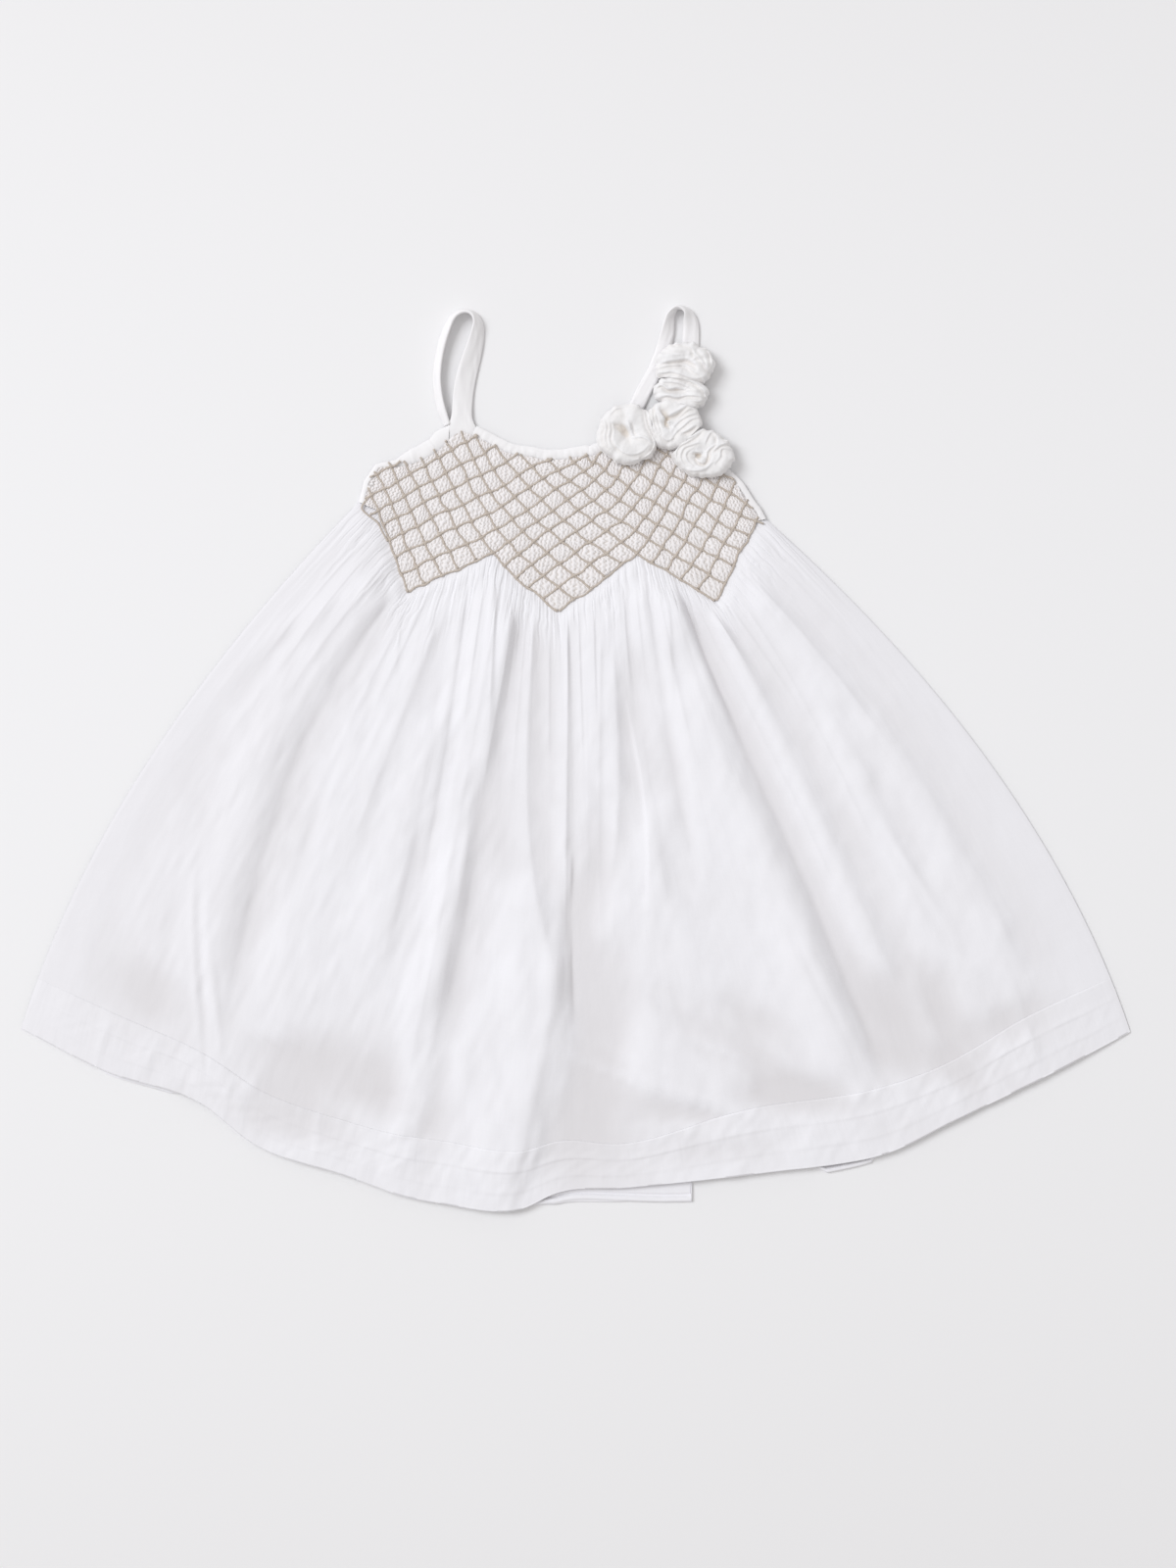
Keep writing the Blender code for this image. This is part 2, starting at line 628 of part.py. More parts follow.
def make_back(finish):
    """The back, flat under the front and a little inside its side seams."""
    numbers = np.arange(-BACK_SIDE, BACK_SIDE + 0.1, BACK_SIDE / 34)
    falls = np.linspace(0.03, BACK_STITCH, 15)
    left = [skirt(-BACK_SIDE, fall) for fall in falls]
    stitches = [skirt(number, BACK_STITCH) for number in numbers[1:-1]]
    right = [skirt(BACK_SIDE, fall) for fall in falls[::-1]]
    columns = np.arange(RIGHT_END, LEFT_END - 0.1, -0.5)
    neck = [smocked(number, straight(YOKE_EDGE, number) - 0.1) for number in columns]
    make_flat_piece("back_panel", left + stitches + right + neck, finish)


def make_back_hem(finish):
    """The back's hem, which lies past the front's in three places and shows there."""
    numbers = np.arange(-BACK_SIDE, BACK_SIDE + 0.1, BACK_SIDE / 34)
    slant = 1.5
    top = [skirt(number, BACK_STITCH) + down(number, BACK_STITCH)[0] * slant * SEAM_GAP for number in numbers]
    corners = {row.number for row in BACK_HEM if abs(row.number) < BACK_SIDE}
    lower = sorted(corners.union(numbers), reverse=True)
    edge = [skirt(number, 1) + down(number, 0.99)[0] * straight(BACK_HEM, number) for number in lower]
    make_flat_piece("back_hem_band", top + edge, finish)


for old in list(bpy.data.objects):
    bpy.data.objects.remove(old)
pieces = bpy.data.collections.new("toddler_dress")
bpy.context.scene.collection.children.link(pieces)
dress = bpy.data.objects.new("dress_frame", None)
pieces.objects.link(dress)

make_yoke(material("smocked_cotton", (0.74, 0.71, 0.66), 0.9))
make_skirt(material("skirt_cotton", (0.84, 0.83, 0.82), 0.85))
make_hem(material("hem_cotton", (0.86, 0.85, 0.84), 0.85))
make_back(material("back_cotton", (0.8, 0.79, 0.78), 0.85))
make_back_hem(material("back_hem_cotton", (0.8, 0.79, 0.79), 0.85))
neck_line = yoke_edge(-8.5, 9.0)
make_binding("neck_binding", neck_line, [NECK_WIDTH], material("neck_cotton", (0.86, 0.85, 0.84), 0.8))
left_line = yoke_edge(LEFT_END, -10.5, corner=-1)
left_widths = [ARMHOLE_NARROW, ARMHOLE_NARROW, ARMHOLE_WIDTH, ARMHOLE_WIDTH]
left_finish = material("left_armhole_cotton", (0.86, 0.85, 0.84), 0.8)
beside_strap = (0.05, 1)
make_binding(
    "armhole_binding_left", left_line, left_widths, left_finish, seam_way(-1)[1], np.array(beside_strap)
)
right_line = yoke_edge(11.5, RIGHT_END, corner=1)
right_widths = [ARMHOLE_WIDTH, ARMHOLE_NARROW + 1, ARMHOLE_NARROW + 1, ARMHOLE_NARROW]
right_finish = material("right_armhole_cotton", (0.86, 0.85, 0.84), 0.8)
make_binding("armhole_binding_right", right_line, right_widths, right_finish, None, seam_way(1)[1])
make_strap("strap_left", LEFT_STRAP, material("left_strap_cotton", (0.86, 0.85, 0.84), 0.8))
make_strap("strap_right", RIGHT_STRAP, material("right_strap_cotton", (0.86, 0.85, 0.84), 0.8))
for name, row in ROSETTES.items():
    make_rosette(name, row, material(name + "_cotton", (0.88, 0.87, 0.85), 0.85))
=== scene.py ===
# %% [markdown]
# A toddler's sundress, laid flat with its front up.
# It is sewn from one thin white cotton. The front is gathered by diamond smocking in beige thread, and
# below the smocking's three points the skirt opens into folds down to a deep hem with two narrow tucks.
# Thin cloth has almost no colour of its own to look at. What shows is its form: pleats, gathers, folds, and
# the soft shade between them. So nearly everything here is real geometry, worked out from a few tables in
# millimetres. The finishes add what is finer than that, painted shade in the cloth's folds, pleats and
# creases, and a little painted light on the straps and bindings.

import math

import bpy
import numpy as np
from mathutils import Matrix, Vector

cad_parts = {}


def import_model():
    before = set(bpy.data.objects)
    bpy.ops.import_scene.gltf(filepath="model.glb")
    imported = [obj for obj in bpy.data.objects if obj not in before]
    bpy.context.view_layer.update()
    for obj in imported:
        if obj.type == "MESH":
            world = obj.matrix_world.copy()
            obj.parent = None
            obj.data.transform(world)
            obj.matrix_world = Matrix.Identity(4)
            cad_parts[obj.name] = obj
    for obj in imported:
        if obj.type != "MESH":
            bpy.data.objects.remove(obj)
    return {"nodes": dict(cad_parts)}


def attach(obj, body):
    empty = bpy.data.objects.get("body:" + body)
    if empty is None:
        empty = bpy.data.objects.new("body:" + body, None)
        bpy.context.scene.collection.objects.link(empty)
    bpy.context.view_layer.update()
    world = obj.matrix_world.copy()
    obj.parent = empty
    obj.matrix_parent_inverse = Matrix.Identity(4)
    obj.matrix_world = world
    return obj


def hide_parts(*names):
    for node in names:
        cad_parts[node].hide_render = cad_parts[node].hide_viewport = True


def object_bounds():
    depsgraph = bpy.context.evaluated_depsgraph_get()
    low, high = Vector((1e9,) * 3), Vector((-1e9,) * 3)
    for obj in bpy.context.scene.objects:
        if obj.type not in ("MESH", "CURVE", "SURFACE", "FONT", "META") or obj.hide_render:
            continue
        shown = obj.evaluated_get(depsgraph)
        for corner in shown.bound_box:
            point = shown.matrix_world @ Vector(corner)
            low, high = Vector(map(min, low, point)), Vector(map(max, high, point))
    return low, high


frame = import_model()
solid_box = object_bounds()
solid_sides = [round(side * 1000) for side in solid_box[1] - solid_box[0]]
print("nodes:", len(frame["nodes"]), "box in mm:", solid_sides)

# %% [markdown]
# Shader maths reads best as plain sums. A small class wraps a node's socket, so that height * 0.5 + 1 adds
# the two Math nodes that it needs. The reflected forms make 1 - mask work too. Colours don't go through it,
# because a Math node turns a colour grey: a Mix node mixes them. Every other node comes from one method.

# %% A finish, its nodes, and sums with sockets
# A Mix node has several sockets of each name, so those for colours are picked by number.
MIX_SHARE = 0
MIX_FIRST = 6
MIX_SECOND = 7
MIX_COLOUR = 2


class Amount:
    """A number that varies over a surface. A sum with it adds a Math node."""

    def __init__(self, finish, socket):
        self.finish = finish
        self.socket = socket

    def __add__(self, other):
        return self.finish.math("ADD", self, other)

    __radd__ = __add__

    def __sub__(self, other):
        return self.finish.math("SUBTRACT", self, other)

    def __rsub__(self, other):
        return self.finish.math("SUBTRACT", other, self)

    def __mul__(self, other):
        return self.finish.math("MULTIPLY", self, other)

    __rmul__ = __mul__


class Finish:
    """A material that is built up from nodes."""

    def __init__(self, name, **constants):
        self.material = bpy.data.materials.new(name)
        self.material.use_nodes = True
        self.tree = self.material.node_tree
        self.shader = self.tree.nodes["Principled BSDF"]
        self.show(**constants)

    def show(self, **looks):
        """Feeds the shader's sockets, and gives the material back."""
        for socket, value in looks.items():
            self.feed(self.shader.inputs[socket.replace("_", " ")], value)
        return self.material

    def node(self, kind, settings=None, sockets=None, output=0):
        """Adds a node: its settings are set first, then each socket gets its value or its link."""
        made = self.tree.nodes.new(kind)
        for name, value in (settings or {}).items():
            setattr(made, name, value)
        for name, value in (sockets or {}).items():
            self.feed(made.inputs[name], value)
        return Amount(self, made.outputs[output])

    def feed(self, socket, value):
        """Links a socket to an amount, or sets it to a plain value."""
        if isinstance(value, Amount):
            self.tree.links.new(value.socket, socket)
        else:
            socket.default_value = value

    def math(self, operation, *values):
        return self.node("ShaderNodeMath", {"operation": operation}, dict(enumerate(values)))

    def mix(self, share, first, second):
        """A colour between two, each a plain colour or another mix."""
        sockets = {MIX_SHARE: share}
        for socket, colour in ((MIX_FIRST, first), (MIX_SECOND, second)):
            sockets[socket] = colour if isinstance(colour, Amount) else (*colour, 1)
        return self.node("ShaderNodeMix", {"data_type": "RGBA"}, sockets, MIX_COLOUR)

    def parts(self, vector):
        """The x, y and z of a vector."""
        split = self.node("ShaderNodeSeparateXYZ", None, {"Vector": vector})
        return [Amount(self, output) for output in split.socket.node.outputs]

    def bump(self, height, distance, normal=None):
        """Bends the surface's normal by a height from 0 to 1. The distance is in millimetres."""
        sockets = {"Height": height, "Strength": 1.0, "Distance": distance / 1000}
        if normal is not None:
            sockets["Normal"] = normal
        return self.node("ShaderNodeBump", None, sockets)


print("ready to make finishes")

# %% [markdown]
# The cotton is a thin plain weave, slightly slubby: some threads are thicker than their neighbours. Its
# weave is finer than a pixel from a step away, but the slubs, the small crinkles of washed cloth and a
# faint unevenness of white all show. A picture of cloth would repeat and blur. Noise stretched along one
# thread direction and then along the other gives slubs at any distance. The pattern follows the cloth,
# because each piece's UV map is laid out in millimetres of cloth.
# White cotton is faintly lavender. Down in a fold, where it lies on a second layer, it is in a darker and
# warmer shade, and that shade is painted: each piece stores at each point how much of it there is, mostly
# from how deep the point lies, and the colour goes from the cotton's own to the shaded one with it.

# %% The white cotton
COTTON = (0.875, 0.867, 0.897)
COTTON_SHADE = (0.842, 0.83, 0.852)
# Painted shade: the darker, warmer colours of the cloth in its folds, pleats and creases.
COTTON_PAINTED_SHADE = (0.75, 0.73, 0.744)
SMOCKED_PAINTED_SHADE = (0.60, 0.56, 0.53)
ROSETTE_PAINTED_SHADE = (0.66, 0.575, 0.49)
UNDYED = (1.0, 1.0, 0.975)
# Painted light: the straps and bindings are the same cotton, given this slightly brighter white.
EDGE_LIGHTENING = (1.04, 1.035, 1.01)
SMOCKED_TINT = (1.04, 1.015, 0.985)
SLUB_DEPTH = 0.05
CLOUDS_TO_A_MM = 0.03


def streaks(finish, place, along, across, seed):
    """Noise stretched into streaks. Along and across are its sizes in millimetres of cloth."""
    sockets = {"Vector": place, "Scale": (1 / across, 1 / along, 1), "Location": (seed, 0, 0)}
    stretched = finish.node("ShaderNodeMapping", None, sockets)
    return finish.node("ShaderNodeTexNoise", None, {"Vector": stretched, "Scale": 1.0, "Detail": 2.0})


def cotton(name, tint=(1.0, 1.0, 1.0), crinkle=0.35, painted_shade_colour=COTTON_PAINTED_SHADE):
    """White cotton. Tint multiplies its colours, and crinkle is the depth of its creases in mm."""
    finish = Finish(name, Roughness=0.88, Sheen_Weight=0.1, Sheen_Roughness=0.6, Specular_IOR_Level=0.25)
    place = finish.node("ShaderNodeTexCoord", output="UV")
    warp = streaks(finish, place, along=26, across=0.55, seed=3)
    weft = streaks(finish, place, along=0.55, across=22, seed=9)
    threads = (warp + weft) * 0.5
    creases = streaks(finish, place, along=22, across=7, seed=1)
    sockets = {"Vector": place, "Scale": CLOUDS_TO_A_MM, "Detail": 3.0}
    clouds = finish.node("ShaderNodeTexNoise", None, sockets)
    shade = (threads - 0.5) * 1.1 + (clouds - 0.5) * 0.8 + 0.35
    # Painted shade: each point's stored share of it turns the colour darker and warmer.
    painted_shade = finish.node("ShaderNodeAttribute", {"attribute_name": "painted_shade"}, output="Fac")
    colours = (COTTON, COTTON_SHADE, painted_shade_colour)
    light, dark, shaded_colour = [np.multiply(colour, tint).tolist() for colour in colours]
    colour = finish.mix(painted_shade, finish.mix(shade, light, dark), shaded_colour)
    relief = finish.bump(creases, crinkle)
    return finish.show(Base_Color=colour, Normal=finish.bump(threads, SLUB_DEPTH, relief))


skirt_cotton = cotton("skirt_cotton", crinkle=0.36)
hem_cotton = cotton("hem_cotton", crinkle=0.5)
back_cotton = cotton("back_cotton")
smocked_cotton = cotton("smocked_cotton", SMOCKED_TINT, crinkle=0.1, painted_shade_colour=SMOCKED_PAINTED_SHADE)
edge_cotton = cotton("edge_cotton", EDGE_LIGHTENING, crinkle=0.3)
rosette_cotton = cotton("rosette_cotton", UNDYED, crinkle=0.15, painted_shade_colour=ROSETTE_PAINTED_SHADE)
print("cottons:", [material.name for material in bpy.data.materials if "cotton" in material.name])

# %% [markdown]
# The smocking thread is stranded embroidery cotton in beige, with a soft shine. Its strands wind round each
# other, so a fine slanting stripe runs along each stitch.

# %% The smocking thread
THREAD = (0.68, 0.605, 0.535)
THREAD_DARK = (0.45, 0.38, 0.315)
THREAD_TWIST = 9.0
TWIST_DEPTH = 0.12


def smocking_thread():
    """Beige thread. Its twist is in radians to a millimetre, and its relief in millimetres."""
    finish = Finish("smocking_thread", Roughness=0.62, Sheen_Weight=0.2)
    place = finish.node("ShaderNodeTexCoord", output="UV")
    along, round_it, _ = finish.parts(place)
    twist = finish.math("SINE", along * THREAD_TWIST + round_it * math.tau) * 0.5 + 0.5
    uneven = finish.node("ShaderNodeTexNoise", None, {"Vector": place, "Scale": 0.25, "Detail": 2.0})
    shade = twist * 0.35 + uneven * 0.9 - 0.2
    colour = finish.mix(shade, THREAD, THREAD_DARK)
    return finish.show(Base_Color=colour, Normal=finish.bump(twist, TWIST_DEPTH))


beige_thread = smocking_thread()
print("thread:", beige_thread.name)

# %% [markdown]
# The dress is measured in the cloth's own terms, so that a fold can follow the cloth wherever it runs.
# number: the gather's number, from 0 at the centre front, two to each diamond of the smocking.
# step: half diamonds up the smocking, where negative is up, and 0 is just above the three points.
# fall: the share of the way down the skirt, from 0 under the smocking to 1 at the hem's edge.
# The solids were made with the same tables, so each cloth shell here lies on its solid.

# %% Smooth tables
WANDER_VALUES = 1009
RIPPLE_VALUES = 127
# Places are moved along by this many values, so that the ones below zero have values too.
WANDER_START = 400
RIPPLE_START = 300


def table(text):
    """A table of numbers, one row to a line."""
    return np.array([[float(word) for word in line.split()] for line in text.strip().splitlines()])


def smooth(rows, at):
    """A table's values at any places in its first column: a smooth curve, straight on past its ends."""
    at = np.asarray(at, float)
    knots = rows[:, 0]
    values = rows[:, 1:]
    gaps = np.diff(knots)[:, None]
    slopes = np.diff(values, axis=0) / gaps
    middle = (slopes[:-1] * gaps[1:] + slopes[1:] * gaps[:-1]) / (gaps[1:] + gaps[:-1])
    tangents = np.vstack([slopes[:1], middle, slopes[-1:]])
    i = np.clip(np.searchsorted(knots, at, side="right") - 1, 0, len(gaps) - 1)
    gap = gaps[i]
    past = ((at - knots[i]) / gap[..., 0])[..., None]
    t = np.clip(past, 0, 1)
    curve = (
        (2 * t**3 - 3 * t**2 + 1) * values[i]
        + (t**3 - 2 * t**2 + t) * gap * tangents[i]
        + (3 * t**2 - 2 * t**3) * values[i + 1]
        + (t**3 - t**2) * gap * tangents[i + 1]
    )
    return curve + (past - t) * gap * np.where(past < 0, tangents[i], tangents[i + 1])


def ease(value):
    """From 0 to 1 with soft ends."""
    t = np.clip(value, 0, 1)
    return t * t * (3 - 2 * t)


def wander(at, seed, spacing=1.0):
    """Smooth random values from -1 to 1 along a line, the same ones in each run."""
    values = np.random.default_rng(seed).uniform(-1, 1, WANDER_VALUES)
    place = np.asarray(at, float) / spacing + WANDER_START
    first = np.floor(place).astype(int)
    t = ease(place - first)
    return values[first % WANDER_VALUES] * (1 - t) + values[(first + 1) % WANDER_VALUES] * t


def ripple(x, y, seed, size_x, size_y):
    """Smooth random values from -1 to 1 over a surface, the same ones in each run."""
    values = np.random.default_rng(seed).uniform(-1, 1, (RIPPLE_VALUES, RIPPLE_VALUES))
    across = np.asarray(x, float) / size_x + RIPPLE_START
    along = np.asarray(y, float) / size_y + RIPPLE_START
    i = np.floor(across).astype(int)
    j = np.floor(along).astype(int)
    s = ease(across - i)
    rows = []
    for row in (j % RIPPLE_VALUES, (j + 1) % RIPPLE_VALUES):
        rows.append(values[i % RIPPLE_VALUES, row] * (1 - s) + values[(i + 1) % RIPPLE_VALUES, row] * s)
    t = ease(along - j)
    return rows[0] * (1 - t) + rows[1] * t


print("a wander of 3 steps:", wander([0, 1, 2], 1).round(2))

# %% [markdown]
# The smocking's lattice isn't even: rows sag, columns lean apart, and the left side was pulled more than
# the right. So its columns of stitches are given at three heights, and a smooth curve runs through
# them. Another table says where the bindings cut it off above. Below, it ends in three points.

# %% The places of the smocking
# Columns of stitches at three heights: number, then x and y at steps 0, -5 and -10, in mm.
COLUMNS = table("""
-15 -112.1 108.7 -103.2 136.8 -95.4 164.8
-10  -87.1  94.1  -76.4 126.9 -67.1 157.3
 -5  -49.7  84.2  -42.9 114.9 -38.2 145.1
  0   -9.6  83.7   -7.5 114.4  -3.9 141.4
  5   33.0  84.2   31.5 114.4  28.3 143.5
 10   72.0  90.0   62.9 123.0  55.4 151.3
 15  105.3 103.5   92.6 129.7  79.8 156.5
""")
# Where the bindings cut the smocking off: number and step.
YOKE_EDGE = table("""
-16.5  -6.0
-16    -7.6
-15    -8.0
-13    -8.9
-12    -9.75
-11   -10.7
-10.5 -11.8
-10   -12.5
 -9.5 -12.75
 -9   -12.85
 -8.5 -12.95
 -6.5 -12.95
 -4   -12.75
 -2.5 -12.9
  1   -13.9
  5.5 -13.6
  9.5 -13.7
 11   -13
 12.5 -11.5
 13.5 -10.4
 14.5  -8.5
 15    -7.4
 15.5  -5.2
""")
LEFT_END = -16.5
RIGHT_END = 15.5
LAST_COLUMN = 15
CORNER_STEP = -4.0
POINTS = (-10, 0, 10)
POINT_REACH = 5
NOTCH_ROUNDING = 0.45
SLOW_STRAY = 0.65
QUICK_STRAY = 0.4
ARMHOLE_NARROW = 2.6
SKIRT_SIDE = 17.0


def smocked(number, step):
    """The places of points of the smocking, seen from above."""
    row = smooth(COLUMNS, number)
    t = -np.asarray(step, float)[..., None] / 5
    low = row[..., 0:2] * (t - 1) * (t - 2) / 2
    middle = row[..., 2:4] * t * (t - 2)
    high = row[..., 4:6] * t * (t - 1) / 2
    return low - middle + high + unevenness(number, step)


def unevenness(number, step):
    """How far hand stitching strays from an even lattice, in mm."""
    strays = []
    for seed in (1, 2):
        slow = ripple(number, step, seed, 1.7, 1.9)
        quick = ripple(number, step, seed + 2, 0.8, 0.9)
        strays.append(SLOW_STRAY * slow + QUICK_STRAY * quick)
    return np.stack(strays, axis=-1)


def top_step(number):
    """The step where the smocking ends above."""
    return np.interp(number, YOKE_EDGE[:, 0], YOKE_EDGE[:, 1])


def from_point(number):
    """How many gathers away the nearest of the three points is."""
    return np.min([abs(number - point) for point in POINTS], axis=0)


def lower_step(number):
    """The step where the smocking ends below: three points, with slightly rounded notches between."""
    number = np.asarray(number, float)
    away = from_point(number)
    notch = np.sqrt((POINT_REACH - away) ** 2 + NOTCH_ROUNDING**2) - NOTCH_ROUNDING * 0.4
    step = 1 - (POINT_REACH - notch)
    step = np.where(away < POINT_REACH - 2, 1 - away, step)
    return np.where(abs(number) > LAST_COLUMN, CORNER_STEP, step)


print("the centre point in mm:", smocked(0, 1).round(1), "the notch beside it:", smocked(5, -4).round(1))

# %% [markdown]
# The skirt spreads from the smocking's points to a hem twice as wide. Each of its lines starts where a
# gather leaves the smocking and bends out to its own place on the hem, so the cloth's lines fan out as the
# real ones do.

# %% The places of the skirt
# The skirt's lines: number, the x and y that it bows towards, its x and y at the hem's edge, in mm, and the
# fall at which the hem's top stitching crosses it.
LINES = table("""
-17   -251.4  -3.6 -294.1 -144.0 0.905
-14   -206.7  14.6 -248.3 -166.4 0.917
-11   -167.7  19.8 -198.9 -183.0 0.936
 -9   -131.3  -8.8 -169.3 -205.4 0.928
 -6.5  -81.9 -40.0 -124.5 -220.5 0.924
 -3    -50.7 -40.0  -74.1 -235.6 0.915
 -1    -22.1 -50.4  -29.4 -239.2 0.915
  0     -4.9 -55.6  -10.7 -230.9 0.920
  2     10.7 -45.2   27.3 -227.8 0.935
  5     48.1 -29.6   99.1 -220.0 0.910
  7.5   89.7 -24.4  159.9 -211.1 0.909
 10    139.1  -8.8  201.5 -191.9 0.922
 13    196.3   4.2  245.7 -170.6 0.907
 17    247.3  -4.2  294.1 -145.6 0.897
""")


def unit(ways):
    """Directions, each made one long."""
    return ways / np.linalg.norm(ways, axis=-1, keepdims=True)


def seam_way(side):
    """The smocking's lower corner at one armhole, and the direction from there to the side seam."""
    end = RIGHT_END if side > 0 else LEFT_END
    corner = smocked(end, CORNER_STEP)
    return corner, unit(corner - smocked(end - side, CORNER_STEP))


def skirt_top(number):
    """The places where the skirt leaves the smocking or, past it, the armhole's binding."""
    number = np.asarray(number, float)
    top = smocked(number, lower_step(number))
    for side, end in ((-1, -LEFT_END), (1, RIGHT_END)):
        corner, way = seam_way(side)
        share = (abs(number) - end) / (SKIRT_SIDE - end)
        outside = (number * side > end)[..., None]
        top = np.where(outside, corner + way * ARMHOLE_NARROW * share[..., None], top)
    return top


def skirt(number, fall):
    """The places of points of the skirt, seen from above."""
    row = smooth(LINES, number)
    fall = np.asarray(fall, float)[..., None]
    bowed = row[..., 0:2] * 2 * fall * (1 - fall)
    return skirt_top(number) * (1 - fall) ** 2 + bowed + row[..., 2:4] * fall**2


print("hem corners in mm:", skirt(-17.0, 1.0).round(1), skirt(17.0, 1.0).round(1))

# %% [markdown]
# The folds carry the whole look of the skirt. Seen from above, thin cloth that lies in loose folds shows
# few round ridges. Mostly it is level, and then falls away quickly to one side, where it is in shade,
# before it comes up again gently. Each fold is given: where it runs under the smocking, half way
# down and at the hem, where it starts and ends, and how sharply it begins and runs out. A simulation would
# give folds as lively, but not these ones, so they are laid one by one on a sheet that is kept from sinking
# through the back.

# %% The folds
# The gather number at the top, half way and at the hem, the falls at the fold's start and end, then in mm
# how far the cloth comes down, over what width before and after the steepest line, and the width of its
# climb back. A negative height makes a fold rise.
FOLDS = table("""
-12.3 -15.8 -15.5 0.20 0.94 2.6 10  4 18
-17.0 -14.1 -11.4 0.66 0.92 0.9  1  3  4
-12.2 -14.0 -14.4 0.12 0.48 1.4  4  7 16
-10.5 -10.8 -10.7 0.03 0.86 3.9 13  4 24
 -7.2  -8.2  -8.6 0.08 0.55 1.6  2  7 12
 -6.3  -5.9  -6.2 0.02 0.53 1.3  3  2  6
 -6.6  -6.5  -6.8 0.26 0.70 3.0  3 10 30
 -4.4  -2.6  -2.6 0.02 0.26 1.2  1  3  6
 -2.6  -3.3  -3.3 0.05 0.38 2.2  1  5 12
 -2.6  -3.5  -3.8 0.03 0.74 5.4  6 14 42
 -2.6  -3.5  -3.8 0.64 1.00 2.6  7  9 15
 -2.6  -3.5  -3.8 0.44 0.72 2.2  4  6 10
 -1.5  -0.9   1.6 0.03 0.62 2.8  2  9 14
  0.6   0.2   0.2 0.02 0.60 2.2  1  4  9
  0.6   0.45  0.4 0.44 0.68 2.4  1  1.5  4
  0.6   0.45  0.4 0.50 0.70 3.0  9  1.5 12
  0.6   0.5   0.4 0.48 0.72 8.5 28  4 24
  0.6   0.5  -0.85 0.60 1.00 6.6  5 20 40
  0.6   0.5   0.4 0.66 1.00 4.0  6 26 30
  3.4   2.5  -1.5 0.14 0.52 2.2  2  7 14
  3.0   3.75  1.5 0.22 0.58 -1.1  2  1 12
  4.0   4.2   4.0 0.28 0.60 2.2  3  9 14
  5.4   5.1   5.5 0.03 0.52 2.4  7  3  9
  7.6   8.1   7.9 0.03 0.30 2.8  3  2  6
  7.5   8.15  8.4 0.02 0.88 8.5 14  4 24
  9.6   9.6   9.8 0.03 0.80 4.0  6  9 18
 10.4  10.4  10.4 0.76 1.00 2.8  5  8 18
 11.6  11.5  11.2 0.30 0.66 2.0  4  8 14
 12.2  12.8  12.9 0.03 0.38 2.8  2  9 16
 12.8  13.2  13.9 0.34 0.86 3.8  6 12 24
 13.0  13.2  13.2 0.84 1.00 1.6  2  5 10
  5.8   6.4   6.6 0.10 0.70 1.2  5  9 18
""")
FRONT_REST = 1.5
FRONT_CLOTH = 1.5
HEM_CLOTH = 2.0
BODY_LIFT = 3.2
SOFTNESS = 1.0
# How strong the painted shade in the folds is, and how much there is under the smocking, near the hem and
# on the left side; then how it grows with depth.
HOLLOW_SHADE = 0.75
TOP_SHADE = 0.4
HEM_SHADE = 0.4
LEFT_SHADE = 0.3
DEPTH_CURVE = 1.1
NARROWEST_WAY = 0.06
# A fold's width under the smocking as a share of its own, and the fall by which it has opened out.
TOP_WIDTH = 0.45
OPEN_FALL = 0.3
COURSE_FALLS = (0, 0.5, 0.9)
STARTS_OVER = 0.07
ENDS_OVER = 0.14
# How the cloth sinks towards the hem's edge: from which fall, over how much of it, and by what part.
BODY_SINK = (0.86, 0.14, 0.7)
RELIEF_SINK = (0.92, 0.08, 0.3)
SIDE_SLOPE = 5.5
SIDE_DROP = 1.5
SEAM_WAY = 1.8


def course_at(row, fall):
    """The gather number where a fold runs at a fall, from its three numbers at the course's falls."""
    return smooth(np.column_stack([COURSE_FALLS, row[:3]]), fall)[..., 0]


def opened(fall):
    """How far the folds have opened out: they start narrow under the smocking."""
    return TOP_WIDTH + (1 - TOP_WIDTH) * ease(fall / OPEN_FALL)


def on_stretch(row, fall):
    """From 0 to 1 and back, between a fold's start and end."""
    start, end = row[3:5]
    return ease((fall - start) / STARTS_OVER) * ease((end + 0.06 - fall) / ENDS_OVER)


def fold(row, number, fall, spread):
    """One fold's height in mm. It falls away to the right, or rises there if its own height is negative."""
    height, before, after, climb = row[5:]
    apart = (number - course_at(row, fall)) * spread
    before = np.maximum(before * opened(fall), NARROWEST_WAY * spread)
    after = np.maximum(after * opened(fall), NARROWEST_WAY * spread)
    share = before / (before + after)
    steepening = 0.5 - share * np.clip(1 + apart / before, 0, 1) ** 2
    easing = (1 - share) * np.clip(1 - apart / after, 0, 1) ** 2 - 0.5
    crest = steepening * ease((apart + before + climb) / climb)
    trough = easing * ease((after + climb - apart) / climb)
    return height * on_stretch(row, fall) * np.where(apart < 0, crest, trough)


print("folds:", len(FOLDS))

# %% [markdown]
# Between the folds run finer creases of the same kind. Under the smocking they are the last of the pleats,
# and lower down the cloth was once folded there. A few broad swells and hollows are no folds at all: they
# lie across the skirt, most of them just above the hem, which is stiffer than the skirt.

